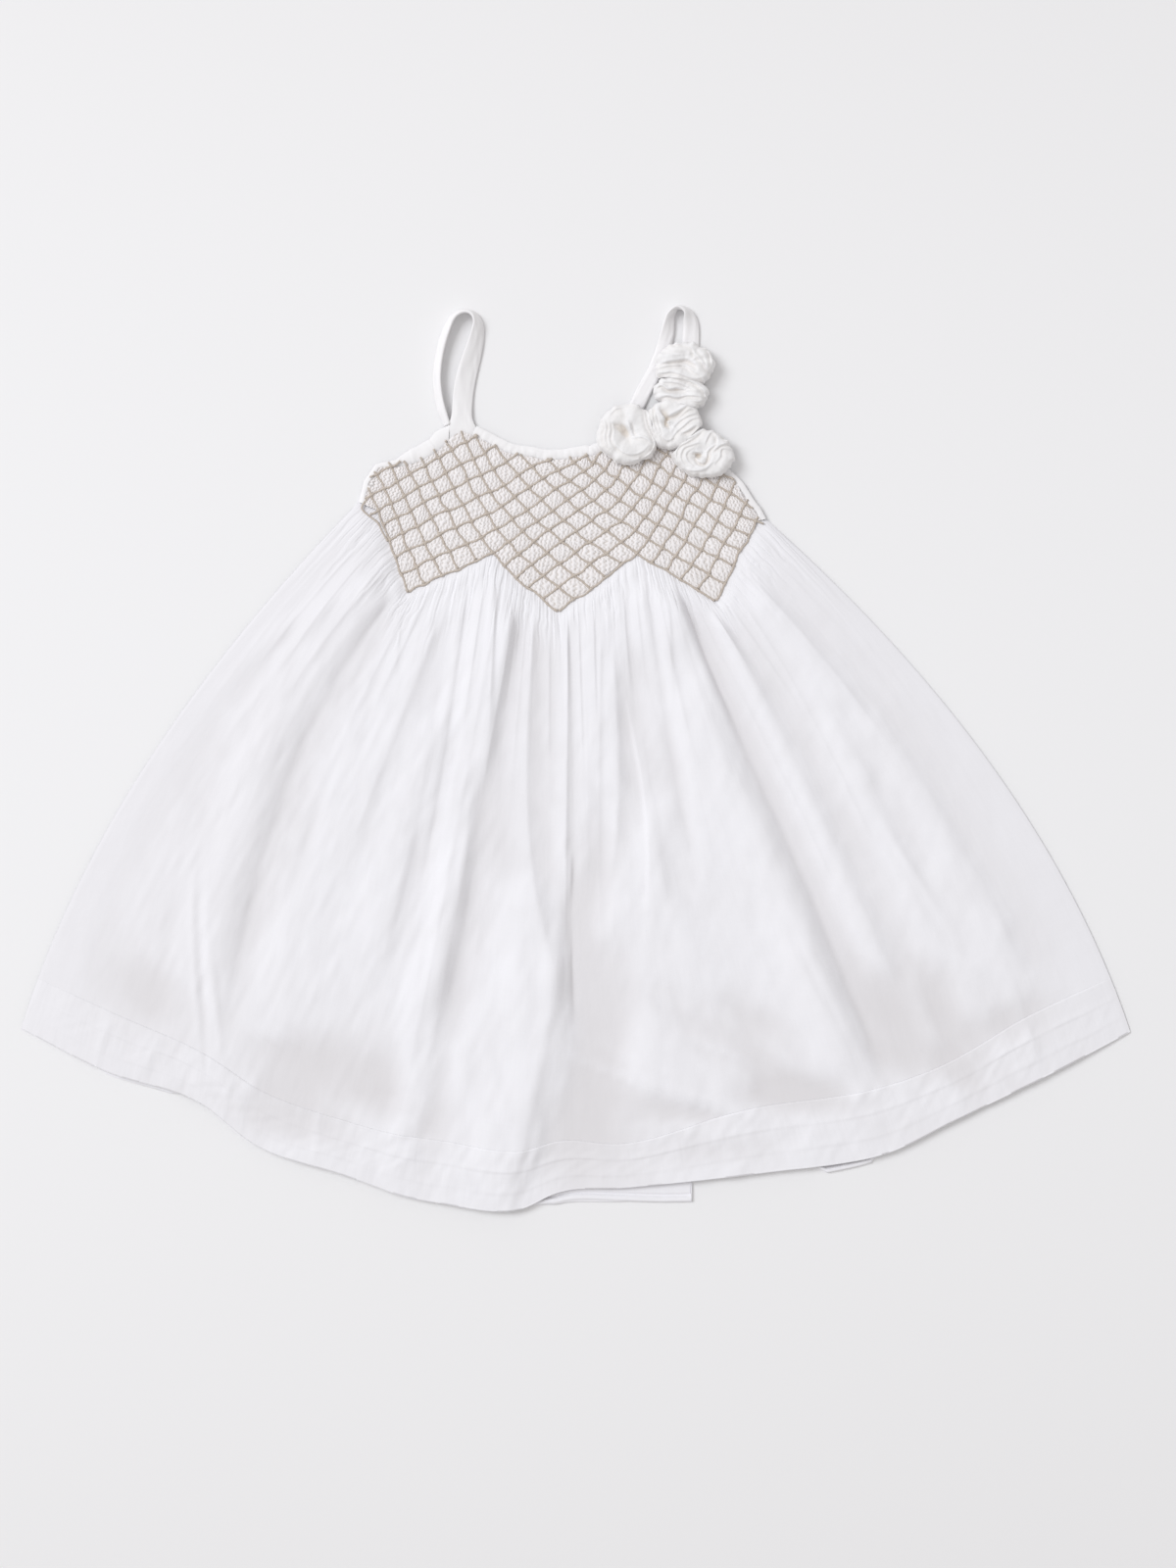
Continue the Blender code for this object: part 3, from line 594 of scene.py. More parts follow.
# %% Finer creases, swells and hollows
CREASES = table("""
-15.4 -15.9 -16.2 0.03 0.40 0.5 1.0 3.0  8
-14.1 -14.9 -15.0 0.03 0.32 0.6 0.8 2.5  8
-13.3 -13.4 -13.6 0.03 0.27 0.5 0.7 2.0  6
-11.7 -12.3 -12.5 0.02 0.37 0.6 1.0 3.0  8
 -9.8  -7.0  -7.0 0.06 0.21 0.5 0.8 1.8  5
 -9.1  -9.6  -9.6 0.02 0.32 0.6 1.0 3.0  7
 -8.3  -9.2  -9.2 0.02 0.24 0.5 0.8 2.0  5
 -5.2  -5.0  -5.0 0.02 0.27 0.6 0.8 2.2  5
 -3.9  -4.3  -4.7 0.10 0.80 0.7 2.0 3.5  9
 -1.9  -2.0  -2.1 0.02 0.32 0.6 0.8 2.2  6
 -0.5  -0.5  -0.5 0.02 0.27 0.7 0.7 1.6  5
  1.3   1.2   1.0 0.02 0.29 0.6 0.7 1.8  5
  2.2   2.0   2.0 0.02 0.24 0.6 0.7 1.6  5
  2.8   1.9   1.6 0.10 0.60 0.7 1.5 3.0  8
  4.0   3.8   3.8 0.02 0.24 0.7 0.8 2.0  6
  4.7   4.5   4.5 0.02 0.19 0.5 0.7 1.6  5
  6.9   4.9   4.9 0.06 0.27 0.6 1.0 2.4  6
  6.1   6.0   6.0 0.03 0.36 0.4 1.0 2.4  6
  8.3   9.0   9.2 0.03 0.62 0.7 1.2 3.0  8
  9.3   9.9   9.9 0.02 0.14 0.8 0.7 1.6  5
 10.4  10.6  10.6 0.02 0.29 0.6 0.8 2.0  6
 11.1  10.7  10.9 0.03 0.55 0.6 1.0 2.6  7
 13.9  14.4  14.8 0.03 0.35 0.5 1.0 2.6  7
 14.8  15.2  15.6 0.03 0.60 0.7 1.2 3.0  8
""")
# Swells and hollows across the skirt: x, y, half length, half width, turn in degrees and height, in mm.
SWELLS = table("""
-224 -124 26 15 -24 -2.8
-201  -66 22 22   0  1.0
-138 -161 38 15 -12 -4.0
-150 -177 22 10 -10 -2.4
-104 -174 14 11   0 -2.0
-150 -108 26 20   0  1.4
 -95 -186 24  8 -14 -2.0
 -50 -120 12 40   0  1.2
  38 -164 44  6 -30  1.0
  22 -167 25  2.5 -21  1.7
  62 -181 22  2.5 -16  1.5
  53 -187 30  5 -12 -2.4
  67 -146 40 11 -40 -1.8
  60  -95 34 10 -66  1.4
  12  -56  9 18   0 -3.6
  14  -26  9 18   0 -1.6
 -50  -20  7 18   0 -2.2
 -81  -54  6 20 -10 -1.5
 -20 -139 10 26   0 -1.4
  58   46 10 15   0 -3.0
  38   46  9 15   0 -2.2
  32   17 12 18   0 -2.2
  38  -14 10 18   0 -2.2
  95 -139 26 10 -30 -3.0
 103 -165 30  9 -37 -3.0
 122 -180 26  7 -10 -3.3
 116 -178 34  8   8 -2.8
 172 -137 26  9 -60 -3.4
 188 -136 26 12 -50 -3.0
 201 -164 13  9 -30 -3.4
 170 -160 16  9 -20 -3.0
 235 -139 24  9  20 -3.0
 -20  -90 22 26   0 -0.8
 110  -80 16 34   8  1.0
 168   60 10 20 -60 -0.9
 195 -160 12  5 -35 -1.9
 209 -159 12  4 -50  1.3
 233 -175 12  4 -40 -1.2
 150 -178  9  4  50  1.1
 205 -108 20  3 -22  0.7
-251 -152 12  3  72  1.0
-226 -160 10  3  64  0.8
-173 -178 12  4  66  1.1
-137 -196 14  3  84  1.2
 -87 -201 16  4  20 -1.0
 -22 -210 14  4  78  0.9
  62 -208 14  5  70 -0.8
-190 -132 24  2 -84  0.9
-197 -120 40  2 -88 -0.6
-194  -40 15 60   0 -1.1
-158 -146 14  3 -13  1.3
-101 -177 14  2   2 -1.6
-148 -193 28 10 -12 -4.4
 -92 -120 30  3  70 -0.7
  75 -154 18  3 -20  1.2
 105 -175 10  4  15 -1.8
  48 -190 20  2   2 -1.4
 128 -120 34  3 -62 -0.9
  82 -209 26  8   5 -2.0
  -2 -205 16 24   0 -2.0
 178  -60 30  3 -58  0.9
-140  -40 40  4  72 -0.8
 -60  -70 36  3  84  0.8
""")


def bell(away):
    """From 1 at nothing away, down to 0 on both sides."""
    return np.exp(-(away**2))


def turned(x, y, degrees):
    """Places turned to the left round their middle."""
    cos, sin = math.cos(math.radians(degrees)), math.sin(math.radians(degrees))
    return x * cos - y * sin, x * sin + y * cos


def swell(row, x, y):
    """One swell's height in mm at points seen from above."""
    middle_x, middle_y, half_length, half_width, turn, height = row
    along, across = turned(x - middle_x, y - middle_y, -turn)
    return height * bell(along / half_length) * bell(across / half_width)


def crumple(x, y, fall):
    """The small unevenness of washed cotton between the folds, in mm, in three sizes."""
    slow = 0.75 * ripple(x, y, 5, 21, 40)
    middling = 0.36 * ripple(x + y, y - x, 6, 8, 15)
    quick = 0.28 * ripple(x - y * 0.5, y, 7, 4, 11)
    return ease(fall / 0.3) * (slow + middling + quick)


def sunk(fall, start, over, part):
    """What is left of a height where the cloth sinks by a part of it towards the hem's edge."""
    return 1 - part * ease((fall - start) / over)


def resting(number, fall):
    """The height in mm at which the front would lie without a fold, if it could sink through the back."""
    side = ease((SKIRT_SIDE - abs(number)) / SIDE_SLOPE)
    lift = BODY_LIFT * ease(fall / 0.1) * sunk(fall, *BODY_SINK)
    return lift * side - SIDE_DROP * (1 - side)


def settle(lift):
    """The height in mm over its rest on the back of cloth with a lift: never less than nothing."""
    return SOFTNESS * np.log1p(np.exp(lift / SOFTNESS))


def front(number, fall):
    """The skirt's front: x, y and the height of its underside."""
    plan = skirt(number, fall)
    apart = skirt(number + 0.5, fall) - skirt(number - 0.5, fall)
    spread = np.hypot(apart[..., 0], apart[..., 1])
    relief = crumple(plan[..., 0], plan[..., 1], fall)
    for row in np.vstack([FOLDS, CREASES]):
        relief = relief + fold(row, number, fall, spread)
    for row in SWELLS:
        relief = relief + swell(row, plan[..., 0], plan[..., 1])
    inside = ease((SKIRT_SIDE - abs(number)) / SEAM_WAY) * sunk(fall, *RELIEF_SINK)
    height = FRONT_REST + settle(resting(number, fall) + relief * inside)
    return np.concatenate([plan, height[..., None]], axis=-1)


def painted_fold_shade(points, number, fall):
    """Painted shade on the front's points: by depth, none on its level stretches, most where it touches the
    back.
    """
    level = settle(resting(number, fall))
    depth = np.clip(1 - (points[..., 2] - FRONT_REST) / level, 0, 1) ** DEPTH_CURVE
    inside = ease((SKIRT_SIDE - abs(number)) / SIDE_SLOPE)
    growing = TOP_SHADE + (1 - TOP_SHADE) * ease(fall / 0.12) + HEM_SHADE * ease((fall - 0.68) / 0.14)
    # Painted shade grows towards the hem, and some is added over the left side.
    return HOLLOW_SHADE * inside * growing * depth + LEFT_SHADE * ease((-number - 8) / 6)


print("creases:", len(CREASES), "swells and hollows:", len(SWELLS))

# %% [markdown]
# The cloth was drawn up into fine pleats before it was smocked, and the same pleats run on below the thread
# as gathers. In each diamond they bulge, and at each crossing of the thread they are pinched together. So
# one measure, the pleat's phase, is shared by the smocking and the skirt, and both heights come from it.

# %% Pleats and gathers
PLEATS = 3.7
PINCH = 0.14
PLEAT_HEIGHT = 0.9
GATHER_HEIGHT = 1.5
WAVE_STEPS = 0.36
WAVE = 0.22
SKIRT_LENGTH = 300


def pleat_phase(number, step):
    """Which pleat a point is on: one more for each pleat to the right. Neighbours wave together."""
    pinch = PINCH * np.sin(math.pi * number) * np.cos(math.pi * step)
    wave = np.sin(2 * math.pi * (step / WAVE_STEPS + 0.9 * ripple(number, step, 13, 1.3, 1.6)))
    shake = 0.3 * ripple(number, step, 11, 0.7, 0.5) + WAVE * wave
    return PLEATS * (number - pinch) + shake


def ridge(phase, sharp=0.7):
    """Round ridges with narrow valleys between them, from 0 to 1."""
    return abs(np.sin(math.pi * phase)) ** sharp


def fading(number, fall, seed, shortest, longest, each):
    """From 1 to 0 down the skirt, sooner on some gathers than on others."""
    reach = shortest + (longest - shortest) * (0.5 + 0.5 * wander(number, seed, each)) ** 1.5
    return ease(1 - fall / reach)


def gathers(number, fall):
    """The gathers' height below the smocking: fine ones soon run out, double and wide ones last longer."""
    length = SKIRT_LENGTH * fall
    start = ease(fall / 0.02)
    sway = 0.5 * ripple(number, length, 22, 1.1, 9) + 0.2 * ripple(number, length, 29, 0.5, 4)
    phase = pleat_phase(number, lower_step(number)) + sway * start
    uneven = 0.65 + 0.35 * wander(phase, 28, 0.6)
    fine = ridge(phase) * uneven * fading(number, fall, 23, 0.04, 0.17, 0.3) ** 0.6
    double = ridge(phase / 2 + 0.1 * wander(number, 24, 1.3)) * fading(number, fall, 25, 0.07, 0.28, 0.7)
    wide = ridge(number * 0.62 + 0.3 * wander(number, 26, 1.7), 1.2)
    wide = wide * fading(number, fall, 27, 0.14, 0.4, 1.5)
    return GATHER_HEIGHT * (0.42 * fine + 0.42 * double * start + 0.3 * wide * start)


print("pleats across the smocking:", round(PLEATS * (RIGHT_END - LEFT_END)))

# %% [markdown]
# Each cloth piece is one grid of points, bent into place. A grid keeps the cloth's two thread directions,
# so its UV map can be measured along them, in millimetres, and the weave follows every fold. The two layers
# of the back are stacked in one grid, and the thread is many small grids, so one maker serves them all.

# %% From a grid of points to a piece of cloth
def numbered(points, start=0):
    """The numbers of a grid's points, rows by columns."""
    return start + np.arange(points[..., 0].size).reshape(points.shape[:2])


def grid_faces(index, closed=False, caps=False):
    """The faces of a grid, from its points' numbers. Closed joins the last column to the first."""
    if closed:
        index = np.hstack([index, index[:, :1]])
    quads = np.stack([index[:-1, :-1], index[1:, :-1], index[1:, 1:], index[:-1, 1:]], axis=-1)
    faces = quads.reshape(-1, 4).tolist()
    if caps:
        faces += [index[0, :-1].tolist(), index[-1, -2::-1].tolist()]
    return faces


def travelled(steps):
    """How far along each point is, from the steps between the points."""
    return np.concatenate([[0], np.cumsum(steps)])


def laid_flat(points):
    """Each point's place on the flat cloth, in mm: along its row and down its column."""
    along = travelled(np.linalg.norm(np.diff(points, axis=1), axis=2).mean(axis=0))
    down = travelled(np.linalg.norm(np.diff(points, axis=0), axis=2).mean(axis=1))
    return np.stack(np.meshgrid(along, down), axis=-1).reshape(-1, 2)


def sewn(name, points, faces, flat, material, slot=None, node=None, painted_shade=None):
    """A piece from points in mm, its faces, and each point's flat place and painted shade."""
    mesh = bpy.data.meshes.new(name)
    mesh.from_pydata((points.reshape(-1, 3) / 1000).tolist(), [], faces)
    corners = np.empty(len(mesh.loops), np.int32)
    mesh.loops.foreach_get("vertex_index", corners)
    layer = mesh.uv_layers.new(name="cloth")
    layer.uv.foreach_set("vector", flat[corners].astype(np.float32).ravel())
    if painted_shade is not None:
        # Each point's painted shade goes into an attribute that the finish reads.
        depth = mesh.attributes.new("painted_shade", "FLOAT", "POINT")
        depth.data.foreach_set("value", np.clip(painted_shade, 0, 1).astype(np.float32).ravel())
    mesh.shade_smooth()
    mesh.materials.append(material)
    piece = bpy.data.objects.new(name, mesh)
    bpy.context.scene.collection.objects.link(piece)
    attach(piece, "root")
    if node:
        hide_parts(node)
    return piece


def cloth(name, points, material, slot, node, closed=False, caps=False, painted_shade=None):
    """A piece of cloth from one grid of points in mm. It takes the place of a node's solid."""
    faces = grid_faces(numbered(points), closed, caps)
    return sewn(name, points, faces, laid_flat(points), material, slot, node, painted_shade)


def area(piece):
    """A piece's surface in square metres."""
    return sum(face.area for face in piece.data.polygons)


def report(piece):
    """Prints a piece's measures, and gives the piece back."""
    triangles = sum(len(face.vertices) - 2 for face in piece.data.polygons)
    print(piece.name, "triangles:", triangles, "surface in m2:", round(area(piece), 4))
    return piece


print("ready to make cloth")

# %% [markdown]
# The smocked front. On the real dress the pleats are drawn together at every crossing, so each diamond
# between the threads stands up as a small pillow of four or five pleats. The shell has a column of points
# about every eighth of a pleat, so the pleats are real relief that throws real shade, and painted shade
# darkens the valleys between them.

# %% The smocked front
YOKE_CLOTH = 1.6
PUFF = 0.6
SMOCKED_COLUMNS = 901
SMOCKED_ROWS = 110
PILLOW_CURVE = 0.6
PILLOW_FLOOR = FRONT_REST + YOKE_CLOTH - 0.4
# The smocked cloth's painted shade: its most, and what a pleat and a pillow take from it.
DEEPEST = 1.15
PLEAT_SHADE = 1.45
PILLOW_SHADE = 0.1


def pillow(number, step):
    """How far up its diamond's pillow a point is, from 0 under the thread to 1 at the middle."""
    rising = np.cos(math.pi * (number + step) / 2)
    falling = np.cos(math.pi * (number - step) / 2)
    return abs(rising * falling) ** PILLOW_CURVE


def smocked_height(number, step):
    """The height of the smocked cloth in mm: a low pillow to each diamond, in fine pleats."""
    puff = pillow(number, step)
    pleats = PLEAT_HEIGHT * ridge(pleat_phase(number, step)) * (0.5 + 0.5 * puff)
    return PILLOW_FLOOR + PUFF * puff + pleats


def smocked_front():
    columns = np.linspace(LEFT_END, RIGHT_END, SMOCKED_COLUMNS)
    shares = np.linspace(0, 1, SMOCKED_ROWS)[:, None]
    step = top_step(columns) * (1 - shares) + lower_step(columns) * shares
    number = np.broadcast_to(columns, step.shape)
    points = np.dstack([smocked(number, step), smocked_height(number, step)])
    # Painted shade, darkest in the valleys between the pleats and where the pillows sink under the thread.
    lit = PLEAT_SHADE * ridge(pleat_phase(number, step)) + PILLOW_SHADE * pillow(number, step)
    looks = smocked_cotton, "smocked_cotton"
    return cloth("smocked_front", points, *looks, "front_yoke", painted_shade=DEEPEST - lit)


smocking = report(smocked_front())

# %% [markdown]
# The front's skirt is one thin shell from the thread down to the hem's stitching. Its points lie closer
# together near the top, where the gathers are, than in the open folds below.

# %% The front of the skirt
GATHERED_ROWS = 44
OPEN_ROWS = 70
GATHERED_FALL = 0.16
# The fall at which the cloth is free of the thread, and how soon it gets there.
FREE_FALL = 0.035
FREE_CURVE = 0.6
# The front's columns of points, and the fall at which the hem's stitching crosses each.
FRONT_NUMBERS = np.linspace(-SKIRT_SIDE, SKIRT_SIDE, 861)
STITCH_FALL = smooth(LINES, FRONT_NUMBERS)[:, 4]
SIDE_HEIGHT = 0.8
# How the sides come down to that height: the side (1 is the left), over how many columns, and by what part.
SIDE_WAYS = [(1, 85, 0.8), (1, 5, 0.5), (-1, 85, 0.85), (-1, 5, 0.5)]


def fold_sides(points):
    """Brings the side edges of a front piece down to the back's cloth, gently and then round the seam."""
    columns = np.arange(points.shape[1])
    share = 1
    for side, width, part in SIDE_WAYS:
        near = 1 - np.clip(columns[::side] / width, 0, 1)
        share = share * (1 - part * near**2)
    points[..., 2] = SIDE_HEIGHT + (points[..., 2] - SIDE_HEIGHT) * share
    return points


def front_skirt():
    gathered = np.linspace(0, GATHERED_FALL, GATHERED_ROWS)
    shares = np.concatenate([gathered, np.linspace(GATHERED_FALL, 1, OPEN_ROWS)[1:]])[:, None]
    fall = shares * STITCH_FALL
    points = front(FRONT_NUMBERS, fall)
    painted_shade = painted_fold_shade(points, FRONT_NUMBERS, fall)
    pleats = ridge(pleat_phase(FRONT_NUMBERS, lower_step(FRONT_NUMBERS)))
    under_thread = PILLOW_FLOOR + 0.5 * PLEAT_HEIGHT * pleats
    free = ease(fall / FREE_FALL) ** FREE_CURVE
    open_height = points[..., 2] + FRONT_CLOTH + gathers(FRONT_NUMBERS, fall)
    points[..., 2] = under_thread * (1 - free) + open_height * free
    looks = skirt_cotton, "skirt_cotton"
    return cloth("skirt_front", fold_sides(points), *looks, "front_skirt", painted_shade=painted_shade)


open_skirt = report(front_skirt())

# %% [markdown]
# The front's hem is turned up about thirty millimetres, so it is two cloths thick and a little brighter. It
# has a stitched line along its top and two narrow tucks. A real hem is folded, so its shell goes down to
# the edge, round it, and a few millimetres back up underneath.

# %% The front's hem
HEM_STEP = 0.9
STITCH_DIP = 0.14
STITCH_PLACE = 1.6
STITCH_WIDTH = 0.8
# The two narrow tucks: their share of the hem's depth, then height and the widths above and below the fold,
# in mm.
TUCKS = table("""
0.36 0.42 2.2 0.5
0.70 0.30 3.0 0.9
""")
# As shares of the hem's depth: where its flat ends, and where it ends underneath.
HEM_FLAT = 0.985
HEM_RETURN = 0.86
# The share of the painted fold shade that shows on the hem's double cloth.
HEM_SHADE_SHARE = 0.8


def hem_relief(number, depth, length):
    """The hem's relief in mm at a share of its depth: its step, a dip at the stitching and two tucks."""
    pull = 0.5 + 0.5 * ripple(number, depth, 44, 0.22, 9)
    relief = -STITCH_DIP * pull * bell((depth * length - STITCH_PLACE) / STITCH_WIDTH)
    relief = relief + (FRONT_CLOTH - HEM_CLOTH - 0.1) * (1 - ease(depth * length / HEM_STEP))
    for seed, (place, height, above, below) in enumerate(TUCKS):
        uneven = 0.65 + 0.35 * ripple(number, depth, 45 + seed, 0.8, 9)
        past = (depth - place) * length + 0.35 * ripple(number, depth, 47 + seed, 1.1, 9)
        relief = relief + height * uneven * bell(past / np.where(past < 0, above, below))
    return relief


def hem_fall(depth):
    """The fall at a share of the hem's depth, for each of the front's columns."""
    return STITCH_FALL + (1 - STITCH_FALL) * depth


def front_hem():
    ends = skirt(FRONT_NUMBERS, 1.0) - skirt(FRONT_NUMBERS, STITCH_FALL)
    length = np.hypot(ends[:, 0], ends[:, 1])
    depth = np.concatenate([np.linspace(0, 0.06, 5), np.linspace(0.06, HEM_FLAT, 48)[1:]])[:, None]
    flat = front(FRONT_NUMBERS, hem_fall(depth))
    painted_shade = painted_fold_shade(flat, FRONT_NUMBERS, hem_fall(depth))
    along, down = FRONT_NUMBERS * 12, depth * length
    wrinkle = 0.3 * ripple(along, down, 41, 8, 26) + 0.12 * ripple(along + depth * 30, down, 42, 3.5, 14)
    relief = hem_relief(FRONT_NUMBERS, depth, length) + wrinkle * np.sin(math.pi * depth)
    flat[..., 2] += HEM_CLOTH + relief
    turns = np.linspace(0, math.pi, 7)
    shares = np.append(HEM_FLAT + (1 - HEM_FLAT) * np.sin(turns), HEM_RETURN)[:, None]
    edge = front(FRONT_NUMBERS, hem_fall(shares))
    edge[..., 2] += HEM_CLOTH * np.append(0.5 + 0.5 * np.cos(turns), 0)[:, None]
    points = fold_sides(np.concatenate([flat, edge]))
    painted_shade = HEM_SHADE_SHARE * np.concatenate([painted_shade, np.repeat(painted_shade[-1:], len(edge), axis=0)])
    return cloth("front_hem", points, hem_cotton, "hem_cotton", "front_hem_band", painted_shade=painted_shade)


hem = report(front_hem())

# %% [markdown]
# The back lies flat under the front. Only its hem shows, in three places where it hangs lower than the
# front's. Both are closed walls with slight waves, so that they look like cloth from behind as well. Where
# the hem shows, its edge is rolled over and a groove runs above the roll.

# %% The back and its hem
BACK_CLOTH = 1.2
BACK_SIDE = 16.9
BACK_STITCH = 0.905
BACK_TUCK = 4.0
BACK_ROLL = 1.0
BACK_GROOVE = 0.9
BACK_WAVE = 0.12
BACK_LOWEST = 0.02
BACK_HIDDEN = 0.7
BACK_INSET = 0.45
# How far the back's hem hangs below the front's: number and mm. Below zero, it is hidden.
BACK_HEM = table("""
-17   -0.7
-14.6 -0.7
-14    1.5
-12    1.5
-11.4 -0.7
 -0.8 -0.7
 -0.6  1
  0    6
  1    7
  2    7.5
  2.8  9.5
  3.4 11
  3.5 -0.7
  6.1 -0.7
  6.3  4
  7.3  3
  7.5 -0.7
 17   -0.7
""")


def closed_sheet(name, plan, node, relief=0):
    """A piece of the back lying on the floor, as a closed wall. Relief in mm goes on its upper face."""
    wave = BACK_WAVE * ripple(plan[..., 0], plan[..., 1], 31, 25, 33)
    high = np.dstack([plan, BACK_CLOTH - BACK_WAVE + wave + relief])
    low = np.dstack([plan, np.full(plan.shape[:2], BACK_LOWEST)])
    index = numbered(plan)
    rim = np.concatenate([index[0, :-1], index[:-1, -1], index[-1, :0:-1], index[:0:-1, 0]])
    after = np.roll(rim, -1)
    sides = np.stack([rim, after, after + index.size, rim + index.size], axis=1).tolist()
    faces = grid_faces(index)
    under = [[corner + index.size for corner in face[::-1]] for face in faces]
    points = np.concatenate([high, low])
    looks = back_cotton, "back_cotton"
    piece = sewn(name, points, faces + under + sides, laid_flat(points), *looks, node)
    piece.data.set_sharp_from_angle(angle=math.radians(50))
    return piece


def back_cloth():
    numbers = np.linspace(-BACK_SIDE, BACK_SIDE, 121)
    edge = np.clip(numbers, LEFT_END, RIGHT_END)
    top = smocked(edge, top_step(edge) - 0.1)
    top = np.where((abs(numbers - edge) > 0)[:, None], skirt(numbers, 0.03), top)
    start = skirt(numbers, 0.0)
    upper = [top * (1 - share) + start * share for share in np.linspace(0, 1, 14)[:-1]]
    lower = [skirt(numbers, fall) for fall in np.linspace(0, BACK_STITCH, 40)]
    return closed_sheet("back_cloth", np.array(upper + lower), "back_panel")


def back_hem():
    numbers = np.unique(np.concatenate([np.linspace(-BACK_SIDE, BACK_SIDE, 121), BACK_HEM[1:-1, 0]]))
    edge = skirt(numbers, 1.0)
    way = unit(edge - skirt(numbers, 0.98))
    past = np.interp(numbers, *BACK_HEM.T)
    low = edge + way * past[:, None]
    top = skirt(numbers, BACK_STITCH) + way * BACK_INSET
    shares = np.concatenate([np.linspace(0, 0.78, 10), np.linspace(0.8, 1, 24)])[:, None]
    plan = np.array([top * (1 - share) + low * share for share in shares])
    length = np.hypot(*(low - top).T)
    short = (1 - shares) * length - 0.6 * np.sin(numbers * 1.7)
    groove = BACK_GROOVE * bell((short - BACK_TUCK) / 0.7) * ease((numbers + 0.9) / 0.5)
    roll = BACK_ROLL * bell((short - 1.6) / 1.8)
    relief = (roll - groove) * ease((past + BACK_HIDDEN) / 3) * ease(short / 0.8)
    return closed_sheet("back_hem", plan, "back_hem_band", relief)


back = report(back_cloth())
back_edge = report(back_hem())

# %% [markdown]
# Narrow strips bind the neck and the armholes. Each is a folded strip of the same cotton, rounded over, and
# the pleats that it holds pucker it a little.

# %% The bindings
NECK_WIDTH = 5.5
ARMHOLE_WIDTH = 8.0
BINDING_HEIGHT = 2.0
BINDING_EDGE = 0.6
OVERLAP = 0.9


def edge_line(first, last, side=0):
    """The smocking's upper edge between two gather numbers, with one armhole's lower corner added."""
    numbers = np.arange(first, last + 0.01, 0.1)
    line = smocked(numbers, top_step(numbers))
    steps = np.arange(0, 1.01, 0.1)[:, None]
    if side < 0:
        return np.concatenate([(seam_way(side)[0] * (1 - steps) + line[0] * steps)[:-1], line])
    if side > 0:
        return np.concatenate([line, (line[-1] * (1 - steps) + seam_way(side)[0] * steps)[1:]])
    return line


def leftward(ways):
    """The level directions to the left of ways ahead."""
    return unit(np.column_stack([-ways[:, 1], ways[:, 0]]))


def binding(name, node, line, widths, seed, first_way=None, last_way=None):
    """A rounded strip along the smocking's edge, its widths spread evenly over its points."""
    ways = np.gradient(line, axis=0)
    for _ in range(6):
        ways[1:-1] = (ways[:-2] + ways[1:-1] * 2 + ways[2:]) / 4
    outward = leftward(ways)
    for way, end in ((first_way, 0), (last_way, -1)):
        if way is not None:
            outward[end] = way
    travel = travelled(np.hypot(*np.diff(line, axis=0).T))
    width = np.interp(np.linspace(0, 1, len(line)), np.linspace(0, 1, len(widths)), widths)
    rings = []
    under = np.linspace(0.3, 0.04, 4)
    section = [(share, False) for share in under]
    section += [(share, True) for share in np.linspace(0, 1, 17)]
    section += [(1 - share, False) for share in under[::-1]]
    for share, over in section:
        spot = line + outward * (-OVERLAP + (width[:, None] + OVERLAP) * share)
        crown = math.sin(math.pi * (0.08 + 0.84 * share)) ** 0.6
        fine = ripple(travel, share * 5, seed, 1.3, 5)
        broad = ripple(travel, share * 5, seed + 1, 5, 3)
        pucker = 0.4 * (1 - 0.7 * share) * fine + 0.25 * broad
        top = FRONT_REST + BINDING_EDGE + (BINDING_HEIGHT - BINDING_EDGE + pucker) * crown
        rings.append(np.column_stack([spot, top if over else np.full(len(line), FRONT_REST + 0.1)]))
    return cloth(name, np.stack(rings, axis=1), edge_cotton, "binding_cotton", node)


neck = report(binding("neck_edge", "neck_binding", edge_line(-8.5, 9.0), [NECK_WIDTH], 51))
left_armhole = report(
    binding(
        "armhole_edge_left",
        "armhole_binding_left",
        edge_line(LEFT_END, -10.5, -1),
        [ARMHOLE_NARROW, ARMHOLE_NARROW, ARMHOLE_WIDTH, ARMHOLE_WIDTH],
        53,
        first_way=seam_way(-1)[1],
        last_way=(0.05, 1),
    )
)
right_armhole = report(
    binding(
        "armhole_edge_right",
        "armhole_binding_right",
        edge_line(11.5, RIGHT_END, 1),
        [ARMHOLE_WIDTH, ARMHOLE_NARROW + 1, ARMHOLE_NARROW + 1, ARMHOLE_NARROW],
        55,
        last_way=seam_way(1)[1],
    )
)

# %% [markdown]
# Each strap is a narrow tube of cloth, pressed flat, that leaves the front and turns over in a loop to the
# back. Its section is an oval whose width and roll change along the way, and lengthwise creases run where
# it turns.

# %% The straps
STRAP_CLOTH = 2.0
# Each strap's turns from the front to the back: x, y, width, roll in degrees and lift, all but roll in mm.
LEFT_STRAP = table("""
-60.6 165.0 25.0   0 0.5
-60.6 170.0 21.0   0 0.8
-60.5 175.0 15.5   2 1.1
-60.4 181.0 11.0   6 1.0
-59.8 191.4 10.8  12 0.2
-58.1 201.8 11.0  18 0.0
-55.2 212.2 10.4  26 0.0
-52.4 222.6  9.2  38 0.0
-51.7 230.0  8.4  56 0.0
-54.2 234.8  8.0  72 0.0
-59.0 236.4  8.0  76 0.0
-64.5 233.6  8.0  73 0.0
-68.2 227.0  7.4  62 0.0
-71.6 216.0  6.8  56 0.0
-73.4 204.0  6.6  54 0.0
-73.0 194.0  6.6  54 0.0
-71.2 185.0  6.2  52 0.0
-68.0 176.0  4.5  48 0.0
""")
